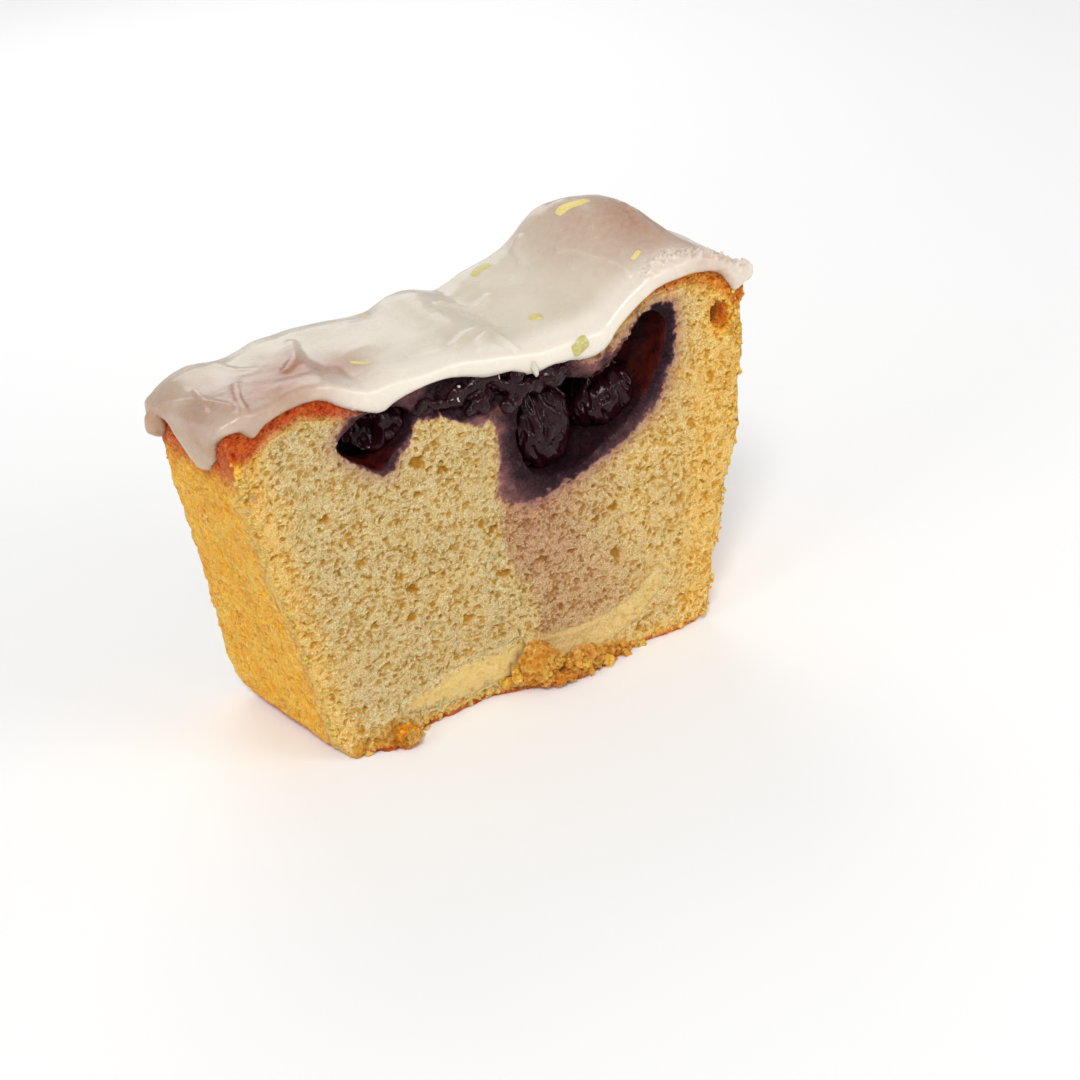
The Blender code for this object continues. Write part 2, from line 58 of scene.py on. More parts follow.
# Y of the near cut, and of the plane that parts the sponge's near half from its far half
NEAR_CUT, SPLIT_PLANE = -16.75, 1.0
# The near cut leans back as it rises, by this much at most
CUT_LEAN = 9.0
# X of the plane that parts the near half again, between the two pockets
SPLIT_ACROSS = -4.5
SPONGE_PARTS = ("near_left_sponge", "near_right_sponge", "far_sponge")
# Points this near each other are one point of a solid, and no crumb comes nearer than this to the floor
WELD, FLOOR_GAP = 0.01, 0.03
# Edges sharper than this stay sharp in the shading
SHARP = math.radians(60)
# Size of the spongy grain's cells on the crumb and on the crust, and height of the bump that it makes
CRUMB_GRAIN, CRUST_GRAIN, GRAIN_BUMP = 0.62, 1.25, 0.30 * MM
# How far the layer's piece reaches into the crumb round it
LAYER_REACH = 1.4
# The left berry is drawn in and moved a little, as its pocket is half empty, and is torn round one place
LEFT_BERRY_SHARE, LEFT_BERRY_SHIFT = (0.90, 0.92, 0.92), (1.6, 0.6, 0.4)
LEFT_BERRY_TORN = (-29.0, -15.6, 67.0)
# Maps of both cuts, once crumb_relief has made them
RELIEF = {}

# The map of a cut's relief: its step, its lowest X and Z, and its columns and rows
MAP_STEP, MAP_LOW, MAP_SIZE = 0.125, (-68.0, -3.0), (1088, 840)

# Outline of the crumb that juice has stained on the near cut, as X and Z
STAINED = ((44.8, 78.0), (45.0, 72.0), (43.8, 66.0), (41.5, 60.0), (38.5, 55.5), (34.5, 52.3), (30.0, 49.9),
           (23.7, 47.4), (19.2, 45.9), (11.6, 44.3), (5.0, 43.5), (1.8, 44.9), (-0.6, 46.9), (-1.3, 48.9),
           (-0.6, 51.0), (-0.3, 53.9), (0.4, 57.0), (0.3, 60.0), (-0.1, 63.1), (-2.1, 65.3), (-3.9, 64.3),
           (-6.1, 65.5), (-8.2, 66.5), (-10.7, 68.2), (-13.9, 69.4), (-17.0, 70.0), (-19.0, 67.6),
           (-22.4, 64.0), (-24.6, 61.2), (-26.6, 60.9), (-30.0, 62.9), (-34.3, 66.6), (-36.5, 70.0),
           (-35.6, 73.0), (-32.0, 75.6), (-24.0, 77.4), (-8.0, 78.6), (5.0, 76.5), (14.0, 75.0), (20.0, 72.4),
           (24.0, 70.4), (28.0, 71.0), (32.0, 73.4), (36.0, 76.4), (40.0, 78.8))
# Outlines of the two berry pockets on the near cut
POCKETS = (
    ((-35.6, 70.2), (-32.6, 72.9), (-30, 74.6), (-23.2, 74.9), (-16.8, 72.2), (-18.2, 68.8), (-23.6, 64.5),
     (-26, 61.7), (-29.8, 63.8), (-34.4, 67.6)),
    ((40.3, 79), (43.5, 75.7), (43.4, 71.6), (41.5, 66.4), (39.1, 62.3), (35, 57), (29, 53), (23.7, 50),
     (17.2, 47.4), (10.3, 47.4), (6.1, 51), (4.7, 58.9), (5.9, 65.6), (9.7, 69.6), (15.8, 70.6), (20.3, 67.2),
     (26.4, 66.4), (29.7, 69.2), (32.3, 70.4), (35.3, 75.6)),
)
# Middles and radii of the stained crumb on the far cut
FAR_STAINS = ((-29.0, 66.5, 9.2, 7.4), (-25.5, 68.5, 8.4, 5.8), (13.5, 61.0, 12.4, 8.8),
              (18.0, 57.5, 10.5, 7.4))
# Where the pale crumb ends and the blushed crumb begins: X at heights from low to high
BLUSH_EDGE = ((0, 4.0), (10.7, 3.7), (15.2, 5.4), (20.3, 5.3), (24.4, 3.8), (28.1, 0.4), (33.4, -0.7),
              (39.5, -1.2), (46.7, -1.6), (55.6, -0.4), (62.5, -0.2), (80, 0.0))
# The largest holes of the near cut: X, Z, half width, half height
WIDE_HOLES = ((56.6, 71.2, 2.1, 3.4), (47.5, 48.6, 0.9, 1.5), (26.0, 24.1, 1.3, 1.5), (-23.2, 33.0, 1.2, 1.2),
              (-3.9, 40.5, 1.4, 0.8), (-40.7, 55.6, 1.3, 0.7), (-11.8, 22.1, 1.3, 0.8),
              (-34.1, 43.4, 1.0, 0.9), (14.9, 28.6, 1.1, 0.7), (-2.3, 29.6, 1.5, 0.7), (7.4, 29.3, 1.2, 0.7),
              (-6.1, 43.0, 1.0, 0.8), (-19.7, 54.1, 1.2, 0.8), (-13.5, 57.5, 1.3, 0.7),
              (-19.1, 61.5, 1.7, 1.2), (25.5, 35.5, 1.3, 0.8), (11.4, 38.0, 1.1, 0.6), (8.7, 41.6, 0.9, 0.6),
              (-24.6, 27.2, 1.2, 0.9), (-22.6, 40.8, 1.0, 0.7), (-26.1, 37.4, 1.1, 0.7),
              (35.6, 41.4, 1.0, 0.7), (42.7, 31.7, 0.9, 1.1), (53.0, 58.0, 1.1, 1.8))
# The dense lemon layer's middle line on the near cut, X and Z
LAYER_LINE = ((-29, 6.9), (-22, 7.1), (-10, 7.7), (2, 8.4), (12, 7.2), (24, 8.2), (31, 10.6), (37, 15))
# Height of the crumb's browned top along the near cut, and how far the browning reaches down: X, Z, reach
BROWNED_TOP = ((-61, 81, 9), (-58, 80, 9), (-55, 79, 9), (-50, 81, 6), (-43, 82, 4.6), (-37, 80, 4.2),
               (-31, 76.5, 2.6), (-26, 75, 2.4), (-20, 76, 2.0), (-10, 77.5, 1.2), (5, 74, 0.4),
               (20, 73, 0.8), (27, 75.5, 2.6), (33, 80, 3.6), (40, 83.5, 3.6), (50, 83.5, 4.0), (56, 81, 5.0),
               (60, 78, 8))
# Scraps of berry skin on the crumb between the pockets: place and half length
SCRAPS = (((-7.8, -14.9, 72.1), 2.6), ((-4.2, -15.0, 73.2), 2.2), ((-0.7, -15.1, 73.3), 2.4),
          ((2.5, -15.3, 71.2), 2.0), ((5.7, -15.6, 68.7), 2.2), ((9.2, -15.8, 69.3), 2.4),
          ((12.5, -16.4, 70.1), 2.2), ((-2.5, -15.6, 69.4), 1.8), ((2.7, -16.3, 67.0), 1.5),
          ((15.5, -16.2, 69.6), 1.9), ((-12.0, -15.4, 71.8), 1.7), ((-5.2, -16.0, 68.0), 1.3),
          ((6.2, -16.2, 73.0), 1.7), ((11.0, -16.6, 73.2), 1.5), ((-16.5, -15.6, 72.6), 1.6))
# Drips of icing over those scraps: points from the lip down, and the width at the top
DRIPS = (
    (((8.8, -16.9, 76.0), (9.2, -17.7, 74.4), (9.6, -17.9, 73.0), (9.9, -17.5, 71.7)), 2.2),
    (((-7.0, -15.4, 74.2), (-7.6, -15.9, 73.2), (-8.6, -16.2, 72.3), (-9.9, -16.2, 71.8)), 0.6),
    (((-7.4, -15.8, 73.4), (-8.0, -16.3, 72.4), (-8.0, -16.5, 71.4), (-7.3, -16.5, 70.9)), 0.55),
    (((-6.2, -15.3, 73.6), (-7.0, -15.9, 72.7), (-7.6, -16.3, 71.7)), 0.5),
    (((1.9, -15.4, 74.4), (1.9, -16.0, 73.2), (1.5, -16.2, 72.0)), 0.7),
)

# Lines along which crumbs lie: points, how many, smallest and largest radius, how much crust and how baked
CRUMB_LINES = (
    (((-44.5, -16.5, 2.0), (-47.7, -16.5, 14), (-50.6, -16.6, 28), (-53.3, -16.6, 42), (-55.8, -16.6, 58),
      (-57, -16.6, 70)), 70, 0.35, 0.95, 0.35, 0.0),
    (((-43, -17, 0.8), (-30, -20.5, 1.2), (-18, -17, 0.8), (-6, -16.5, 0.8)), 40, 0.4, 1.1, 0.35, 0.2),
    (((-5, -17.5, 4), (2, -21.5, 7), (10, -21, 5), (18, -21, 2), (27, -19, 1)), 70, 0.5, 1.5, 0.85, 0.35),
    (((27, -18, 1), (40, -17.2, 1.2), (51, -16.8, 2)), 24, 0.4, 1.0, 0.6, 0.3),
    (((52, -16.6, 6), (54.7, -16.8, 32), (57.8, -16.8, 51), (59.5, -16.8, 66), (60, -16.8, 76)),
     44, 0.35, 0.9, 0.7, 0.1),
    (((-59.5, 20, 78), (-57.5, 20, 56), (-53, 20, 34), (-48, 20, 10)), 36, 0.4, 1.3, 0.9, 0.1),
    (((-46, 20, 1), (0, 20.5, 1), (50, 20, 1)), 44, 0.4, 1.0, 0.8, 0.4),
    (((52, 20, 10), (57, 20, 44), (60, 20, 74)), 30, 0.4, 1.0, 0.85, 0.1),
)

# Folds in the set icing: points of the line, half width and height of the ridge
FOLDS = (
    (((27.2, -0.5, 89.7), (29.5, -3.6, 89.5), (31.4, -6.4, 88.9), (33.5, -9.1, 88.2), (35.1, -11.9, 87.2),
      (35.5, -14.9, 85.8)), 0.7, 0.45),
    (((46.1, 3.0, 93.6), (46.1, -0.2, 93.0), (45.6, -4.1, 91.9), (46.5, -8.3, 90.6)), 0.9, 0.5),
    (((23.6, 9.1, 90.2), (21.7, 8.3, 88.7), (21.2, 4.8, 87.1)), 1.0, 0.5),
    (((0.1, 3.2, 83.9), (2.1, 2.2, 83.3), (3.5, 1.1, 82.5), (6.9, -0.4, 82.1), (9.6, 0.2, 83.2)), 1.0, 0.8),
    (((-33.2, 5.4, 84.1), (-35.0, 0.2, 84.8), (-37.4, -4.9, 85.1), (-40.4, -7.9, 84.9)), 1.3, 0.7),
    (((-48.9, 8.5, 83.2), (-47.0, 2.9, 83.2), (-44.6, -0.0, 83.7)), 1.0, 0.5),
    (((-62.6, 6.1, 79.3), (-60.2, 0.8, 81.1), (-58.1, -4.7, 82.8), (-56.9, -10.2, 83.9),
      (-55.7, -14.8, 84.4)), 0.7, 0.55),
    (((-50.4, -5.2, 84.0), (-53.0, -12.1, 84.2), (-54.2, -17.4, 84.0)), 0.8, 0.7),
    (((-56.9, 0.5, 82.8), (-57.6, -6.3, 83.2), (-59.4, -11.1, 82.7)), 0.6, 0.45),
    (((-0.3, -12.9, 80.7), (4.3, -9.8, 80.8), (5.6, -13.4, 79.3), (6.2, -16.2, 78.3)), 0.8, 0.55),
    (((-5.3, -12.3, 81.6), (-1.7, -10.2, 82.0), (2.4, -9.1, 81.6), (6.0, -8.8, 80.4)), 0.8, 0.45),
    (((-1.7, -15.6, 79.6), (1.4, -13.2, 79.9), (3.4, -15.0, 78.9)), 0.6, 0.4),
)
# The sugary ridge along the icing's upper right edge
SUGAR_RIDGE = ((38.4, -16.7, 86.2), (41.4, -15.6, 87.4), (45.4, -16.0, 87.8), (49.4, -16.8, 87.3),
               (53.3, -17.6, 86.1), (59.5, -16.6, 83.0), (62.5, -16.4, 80.6))
# Places where the icing is tinted pink: middle, radius and strength
PINK_PLACES = (((-45, -12, 84.6), 11, 0.85), ((-36, -10, 84.6), 7, 0.7), ((-59, -8, 81.5), 12, 0.7),
               ((-62, 6, 77), 11, 0.6), ((46, -2, 92), 15, 0.75), ((54, -10, 87), 12, 0.65),
               ((34, 2, 93), 11, 0.5), ((-40, -9, 84.6), 9, 1.0), ((-30, -9, 83.5), 6, 0.8),
               ((-52, -12, 83.5), 10, 0.8))
# Strips and flecks of zest: points along the strip, half width, and how green it is from 0 to 1, or how
# orange from 0 to -1
ZEST = (
    (((30.6, 5.2, 94.8), (33.6, 5.8, 95.6), (37.0, 6.0, 95.9), (40.0, 6.6, 95.8)), 1.5, 0.1),
    (((10.8, 8.6, 85.4), (13.4, 9.2, 86.0), (16.2, 9.4, 86.6)), 1.5, 0.75),
    (((13.6, -10.2, 80.7), (15.0, -10.0, 80.9), (16.6, -9.9, 80.9)), 1.15, 0.6),
    (((18.0, -18.2, 75.0), (20.0, -18.3, 75.9), (22.4, -18.3, 76.4)), 2.1, 0.95),
    (((-15.6, 9.2, 83.5), (-13.2, 10.2, 83.5)), 0.5, -0.6),
    (((-26.9, -7.7, 82.6), (-25.0, -9.2, 82.5), (-23.2, -10.4, 82.2)), 0.55, 0.35),
    (((37.6, -12.4, 88.0), (40.4, -11.8, 89.2)), 0.7, 0.1),
)


def colour_setting(name, about, value):
    return bpy.props.FloatVectorProperty(name=name, description=about, default=value, size=3, subtype="COLOR",
                                         min=0, max=1)


def length_setting(name, about, value, least=-1.0):
    return bpy.props.FloatProperty(name=name, description=about, default=value, min=least, unit="LENGTH")


def angle_setting(name, about, degrees):
    return bpy.props.FloatProperty(name=name, description=about, default=math.radians(degrees),
                                   subtype="ANGLE", unit="ROTATION")


def power_setting(name, about, watts):
    return bpy.props.FloatProperty(name=name, description=about, default=watts, unit="POWER")


class CrumbSettings(bpy.types.PropertyGroup):
    """Sizes and colours of the crumb and its crust."""

    square: length_setting("Square", "Size of the squares of the crust's mesh", 0.96 * MM, 0.5 * MM)
    holes: bpy.props.IntProperty(
        name="Holes", description="How many clear holes a cut shows", default=6500, min=0)
    depth: length_setting("Hole Depth", "Depth of an ordinary hole", 0.62 * MM, 0.0)
    granules: length_setting("Granules", "Height of the crumb's fine granules", 0.20 * MM, 0.0)
    seed: bpy.props.IntProperty(name="Seed", description="Arrangement of the holes", default=11)
    pale: colour_setting("Pale Crumb", "Colour of the driest crumb", (0.67, 0.485, 0.185))
    golden: colour_setting("Golden Crumb", "Colour of the moist crumb near the crust", (0.85, 0.505, 0.10))
    # Painted shade: the colour painted into the crumb's holes as their shade, partly the crumb's own deeper
    # gold
    hollow: colour_setting("Inside Holes", "Colour deep inside a hole", (0.52, 0.248, 0.022))
    blush: colour_setting(
        "Blushed Crumb", "Colour of the crumb that a little juice has reached", (0.488, 0.232, 0.112))
    juice: colour_setting("Juice", "Colour of the crumb round a berry", (0.014, 0.0035, 0.007))
    crust: colour_setting("Crust", "Colour of the amber crust", (0.96, 0.455, 0.014))
    baked: colour_setting(
        "Baked Crust", "Colour of the crust where it has browned most", (0.56, 0.066, 0.002))


class LayerSettings(bpy.types.PropertyGroup):
    """Size and colour of the dense lemon layer."""

    square: length_setting("Square", "Size of the squares of the layer's mesh", 0.36 * MM, 0.3 * MM)
    colour: colour_setting("Colour", "Colour of the dense layer", (0.71, 0.50, 0.155))


class IcingSettings(bpy.types.PropertyGroup):
    """Sizes and colours of the set icing and the zest on it."""

    square: length_setting("Square", "Size of the squares of the icing's mesh", 0.46 * MM, 0.3 * MM)
    wave: length_setting("Waves", "Height of the broad waves in the icing", 0.5 * MM)
    colour: colour_setting("Icing", "Colour of thick icing", (0.665, 0.605, 0.50))
    pink: colour_setting("Pink Icing", "Colour of icing that juice has tinted", (0.37, 0.168, 0.098))
    yellow_zest: colour_setting("Yellow Zest", "Colour of ripe peel", (0.78, 0.60, 0.17))
    green_zest: colour_setting("Green Zest", "Colour of unripe peel", (0.46, 0.42, 0.12))


class BerrySettings(bpy.types.PropertyGroup):
    """Sizes and colours of the collapsed berries."""

    square: length_setting("Square", "Size of the squares of a berry's mesh", 0.27 * MM, 0.2 * MM)
    wrinkle: length_setting("Wrinkles", "Height of the wrinkles in a berry's skin", 0.55 * MM)
    skin: colour_setting("Skin", "Colour of the wet skin", (0.017, 0.0028, 0.0052))
    flesh: colour_setting("Flesh", "Colour of the flesh inside", (0.030, 0.004, 0.004))


class StageSettings(bpy.types.PropertyGroup):
    """Camera, floor and lights."""

    place: bpy.props.FloatVectorProperty(
        name="Camera", description="Place of the camera", default=(-0.20508, -0.41246, 0.27294), size=3,
        subtype="XYZ", unit="LENGTH")
    turn: angle_setting("Turn", "Angle of the camera round the slice", -28.21655)
    rise: angle_setting("Rise", "Angle from which the camera looks down", 27.9985)
    roll: angle_setting("Roll", "Tilt of the camera about its own view", -5.76426)
    lens: bpy.props.FloatProperty(
        name="Lens", description="Focal length in millimetres", default=80.0, min=1.0)
    key: bpy.props.FloatProperty(name="Key Light", description="Strength of the main light", default=1.5)
    spread: angle_setting("Key Spread", "How wide the main light looks", 16)
    spark: power_setting("Spark", "Power of the small light that makes wet parts glint", 0.09)
    side: power_setting("Side Light", "Power of the light on the left", 0.46)
    fill: power_setting("Fill Light", "Power of the fill light", 1.1)
    back: power_setting("Back Light", "Power of the back light", 0.9)
    sky: bpy.props.FloatProperty(name="Surround", description="Strength of the white surround", default=0.42)
    floor: colour_setting("Floor", "Colour of the floor", (0.93, 0.93, 0.93))


def choose(*items):
    """Selects these objects alone, the last as the active one."""
    bpy.ops.object.select_all(action="DESELECT")
    for item in items:
        item.select_set(True)
        bpy.context.view_layer.objects.active = item


def copy_of(node, name):
    """A welded copy of a solid, which is left as it is."""
    piece = bpy.data.objects.new(name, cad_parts[node].data.copy())
    bpy.context.scene.collection.objects.link(piece)
    piece.data.name = name
    piece.data.materials.clear()
    choose(piece)
    bpy.ops.object.mode_set(mode="EDIT")
    bpy.ops.mesh.select_all(action="SELECT")
    bpy.ops.mesh.remove_doubles(threshold=WELD * MM)
    bpy.ops.mesh.normals_make_consistent(inside=False)
    bpy.ops.object.mode_set(mode="OBJECT")
    return piece


def primitive(kind, name, **details):
    """A new simple form, chosen alone."""
    bpy.ops.object.select_all(action="DESELECT")
    getattr(bpy.ops.mesh, f"primitive_{kind}_add")(**details)
    piece = bpy.context.view_layer.objects.active
    piece.name = piece.data.name = name
    return piece


def joined(pieces, name):
    """Several pieces made into one."""
    choose(*pieces)
    bpy.ops.object.join()
    piece = bpy.context.view_layer.objects.active
    piece.name = piece.data.name = name
    return piece


def tree_of(mesh):
    """A mesh's faces, laid out so that the nearest one is found fast."""
    return BVHTree.FromPolygons([v.co for v in mesh.vertices], [tuple(p.vertices) for p in mesh.polygons])


def finish_step(piece, step):
    """Applies a modifier to a piece."""
    choose(piece)
    bpy.ops.object.modifier_apply(modifier=step.name)


def even_skin(piece, square, rounds):
    """Gives a piece an even mesh of small squares and softens its facets."""
    step = piece.modifiers.new("Even skin", "REMESH")
    step.mode = "VOXEL"
    step.voxel_size = square
    finish_step(piece, step)
    soften(piece, rounds)


def soften(piece, rounds):
    """Evens out a piece's skin."""
    step = piece.modifiers.new("Soften", "SMOOTH")
    step.factor = 0.5
    step.iterations = rounds
    finish_step(piece, step)


def roughen(piece, kind, size, height, group="", **details):
    """Moves a piece's skin out and in by a procedural pattern."""
    pattern = bpy.data.textures.new(f"{piece.name} {kind.lower()}", kind)
    pattern.noise_scale = size
    for name, value in details.items():
        setattr(pattern, name, value)
    step = piece.modifiers.new("Roughen", "DISPLACE")
    step.texture = pattern
    step.strength = height
    step.mid_level = 0.5
    step.direction = "NORMAL"
    step.vertex_group = group
    finish_step(piece, step)


def points_of(piece):
    """The places of a piece's points, in millimetres."""
    flat = np.empty(len(piece.data.vertices) * 3)
    piece.data.vertices.foreach_get("co", flat)
    return flat.reshape(-1, 3) / MM


def move_points(piece, places):
    piece.data.vertices.foreach_set("co", (places * MM).ravel())
    piece.data.update()


def outward(piece):
    """The direction in which each point of a piece faces."""
    flat = np.empty(len(piece.data.vertices) * 3)
    piece.data.vertex_normals.foreach_get("vector", flat)
    return flat.reshape(-1, 3)


def keep(piece, name, values):
    """Stores a number for each point, for the materials to read."""
    layer = piece.data.attributes.get(name) or piece.data.attributes.new(name, "FLOAT", "POINT")
    layer.data.foreach_set("value", np.ascontiguousarray(values, dtype=np.float32))


def group_of(piece, name, weights):
    """A vertex group from the weights, in tenths."""
    group = piece.vertex_groups.new(name=name)
    tenths = np.round(np.clip(weights, 0, 1) * 10).astype(int)
    for tenth in range(1, 11):
        members = np.nonzero(tenths == tenth)[0].tolist()
        if members:
            group.add(members, tenth / 10, "REPLACE")
    return group.name


def eased(low, high, values):
    """0 up to low, 1 from high on, with a soft step between."""
    t = np.clip((values - low) / (high - low), 0, 1)
    return t * t * (3 - 2 * t)


def facing_cuts(ways):
    """How squarely points face out of the near cut and out of the far one, each from 0 to 1."""
    return eased(0.4, 0.8, -ways[:, 1]), eased(0.4, 0.8, ways[:, 1])


def reach_into(outline, x, z):
    """How far points lie inside a closed outline, less than 0 outside it."""
    nearest = np.full(len(x), 1e9)
    inside = np.zeros(len(x), bool)
    for (ax, az), (bx, bz) in zip(outline, outline[1:] + outline[:1]):
        dx, dz = bx - ax, bz - az
        share = np.clip(((x - ax) * dx + (z - az) * dz) / (dx * dx + dz * dz), 0, 1)
        nearest = np.minimum(nearest, np.hypot(x - ax - share * dx, z - az - share * dz))
        if az != bz:
            crossing = (az > z) != (bz > z)
            inside ^= crossing & (x < ax + (z - az) * dx / dz)
    return np.where(inside, nearest, -nearest)


def from_line(line, places):
    """Distance of places to a line of points, in as many dimensions as they have."""
    nearest = np.full(len(places), 1e9)
    for a, b in zip(np.array(line, float)[:-1], np.array(line, float)[1:]):
        along = b - a
        share = np.clip((places - a) @ along / (along @ along), 0, 1)
        nearest = np.minimum(nearest, np.linalg.norm(places - a - share[:, None] * along, axis=1))
    return nearest


def soft_noise(size, seed):
    """Smooth noise over a whole map, mostly from -1 to 1, in patches of this size."""
    columns, rows = MAP_SIZE
    white = np.random.default_rng(seed).standard_normal((rows, columns))
    up = np.fft.fftfreq(rows, MAP_STEP)[:, None]
    across = np.fft.rfftfreq(columns, MAP_STEP)[None, :]
    smooth = np.exp(-(up ** 2 + across ** 2) * (size * 1.3) ** 2)
    field = np.fft.irfft2(np.fft.rfft2(white) * smooth, s=(rows, columns))
    return field / (2 * field.std())


def on_map(field, x, z):
    """A map's value at places on the cut, blended from its four nearest squares."""
    columns, rows = MAP_SIZE
    across = np.clip((x - MAP_LOW[0]) / MAP_STEP, 0, columns - 1.001)
    up = np.clip((z - MAP_LOW[1]) / MAP_STEP, 0, rows - 1.001)
    i, j = across.astype(int), up.astype(int)
    s, t = across - i, up - j
    low = field[j, i] * (1 - s) + field[j, i + 1] * s
    high = field[j + 1, i] * (1 - s) + field[j + 1, i + 1] * s
    return low * (1 - t) + high * t


def cell_map(size, seed, stretch=1.25):
    """Rounded cells over a map: how far each place is from its cell's middle and wall, and the cell's lot."""
    columns, rows = MAP_SIZE
    random = np.random.default_rng(seed)
    wide, high = size * stretch / MAP_STEP, size / MAP_STEP
    across = (np.arange(columns)[None, :] + 3 * soft_noise(1.0, seed + 1)) / wide + 2
    up = (np.arange(rows)[:, None] + 3 * soft_noise(1.0, seed + 2)) / high + 2
    shape = (int(rows / high) + 6, int(columns / wide) + 6)
    aside, above, lots = random.random(shape), random.random(shape), random.random(shape)
    first, second = np.full((rows, columns), 9.0), np.full((rows, columns), 9.0)
    lot = np.zeros((rows, columns))
    for down in (-1, 0, 1):
        for side in (-1, 0, 1):
            j = np.clip(up.astype(int) + down, 0, shape[0] - 1)
            i = np.clip(across.astype(int) + side, 0, shape[1] - 1)
            away = np.hypot(i + aside[j, i] - across, j + above[j, i] - up)
            closer = away < first
            second = np.where(closer, first, np.minimum(second, away))
            lot = np.where(closer, lots[j, i], lot)
            first = np.minimum(first, away)
    return first, second - first, lot


class HoleMap:
    """The open holes of a cut crumb: how deep each place lies, from 0 to 1 or more."""

    def __init__(self, seed):
        columns, rows = MAP_SIZE
        self.random = np.random.default_rng(seed)
        self.field = np.zeros((rows, columns))
        self.shift_x = soft_noise(1.1, seed + 1) * 0.5 + soft_noise(0.45, seed + 2) * 0.16
        self.shift_z = soft_noise(1.1, seed + 3) * 0.5 + soft_noise(0.45, seed + 4) * 0.16
        self.crowd = soft_noise(9.0, seed + 5)

    def add(self, count, smallest, largest, depth):
        """Scatters holes of these radii, most of them small."""
        columns, rows = MAP_SIZE
        draw = self.random
        for _ in range(count):
            column, row = draw.integers(0, columns), draw.integers(0, rows)
            wide = smallest + (largest - smallest) * draw.random() ** 2.2
            high = wide * draw.uniform(0.5, 0.95)
            angle = draw.normal(0.12, 0.5)
            if draw.random() > 0.72 + 0.5 * self.crowd[row, column]:
                continue
            self.dig(column, row, wide, high, angle, depth * draw.uniform(0.6, 1.15) * min(1.0, wide / 0.8))

    def dig(self, column, row, wide, high, angle, depth):
        """One hole with an uneven rim."""
        columns, rows = MAP_SIZE
        reach = int((wide + 0.8) / MAP_STEP) + 1
        i0, i1 = max(column - reach, 0), min(column + reach + 1, columns)
        j0, j1 = max(row - reach, 0), min(row + reach + 1, rows)
        area = (slice(j0, j1), slice(i0, i1))
        dx = (np.arange(i0, i1) - column)[None, :] * MAP_STEP + self.shift_x[area]
        dz = (np.arange(j0, j1) - row)[:, None] * MAP_STEP + self.shift_z[area]
        across = (dx * math.cos(angle) + dz * math.sin(angle)) / wide
        up = (dz * math.cos(angle) - dx * math.sin(angle)) / high
        inward = np.clip((1 - np.hypot(across, up)) / 0.55, 0, 1)
        self.field[area] = np.maximum(self.field[area], depth * inward * inward * (3 - 2 * inward))


def split_faces(piece, chosen, cuts):
    """Cuts each chosen face into a finer grid."""
    bpy.context.tool_settings.mesh_select_mode = (False, False, True)
    piece.data.vertices.foreach_set("select", np.zeros(len(piece.data.vertices), bool))
    piece.data.edges.foreach_set("select", np.zeros(len(piece.data.edges), bool))
    piece.data.polygons.foreach_set("select", chosen)
    choose(piece)
    bpy.ops.object.mode_set(mode="EDIT")
    bpy.ops.mesh.subdivide(number_cuts=cuts, smoothness=0)
    bpy.ops.object.mode_set(mode="OBJECT")


def face_facts(piece):
    """Where each face's middle lies, in millimetres, and which way it faces."""
    count = len(piece.data.polygons)
    middles, facing = np.empty(count * 3), np.empty(count * 3)
    piece.data.polygons.foreach_get("center", middles)
    piece.data.polygons.foreach_get("normal", facing)
    return middles.reshape(-1, 3) / MM, facing.reshape(-1, 3)


def part_of(piece, name, walls):
    """The part of a piece behind flat walls, each a place and the way it faces, closed along each wall."""
    part = piece.copy()
    part.data = piece.data.copy()
    part.name = part.data.name = name
    bpy.context.scene.collection.objects.link(part)
    choose(part)
    bpy.context.tool_settings.mesh_select_mode = (True, False, False)
    bpy.ops.object.mode_set(mode="EDIT")
    for place, facing in walls:
        bpy.ops.mesh.select_all(action="SELECT")
        bpy.ops.mesh.bisect(plane_co=place, plane_no=facing, use_fill=False, clear_outer=True)
        bpy.ops.mesh.select_all(action="DESELECT")
        bpy.ops.mesh.select_non_manifold(extend=False, use_wire=False, use_boundary=True,
                                         use_multi_face=False, use_non_contiguous=False, use_verts=False)
        bpy.ops.mesh.fill(use_beauty=False)
    bpy.ops.mesh.select_all(action="SELECT")
    bpy.ops.mesh.normals_make_consistent(inside=False)
    bpy.ops.object.mode_set(mode="OBJECT")
    return part


def ride_and_replace(piece, slot, *nodes):
    """Hides the solids that a finished piece stands in for, clears its vertex groups, hangs it under the root
    body, and shades it smooth up to its sharp edges.
    """
    piece.vertex_groups.clear()
    choose(piece)
    bpy.ops.object.shade_smooth_by_angle(angle=SHARP)
    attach(piece, "root")
    if nodes:
        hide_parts(*nodes)


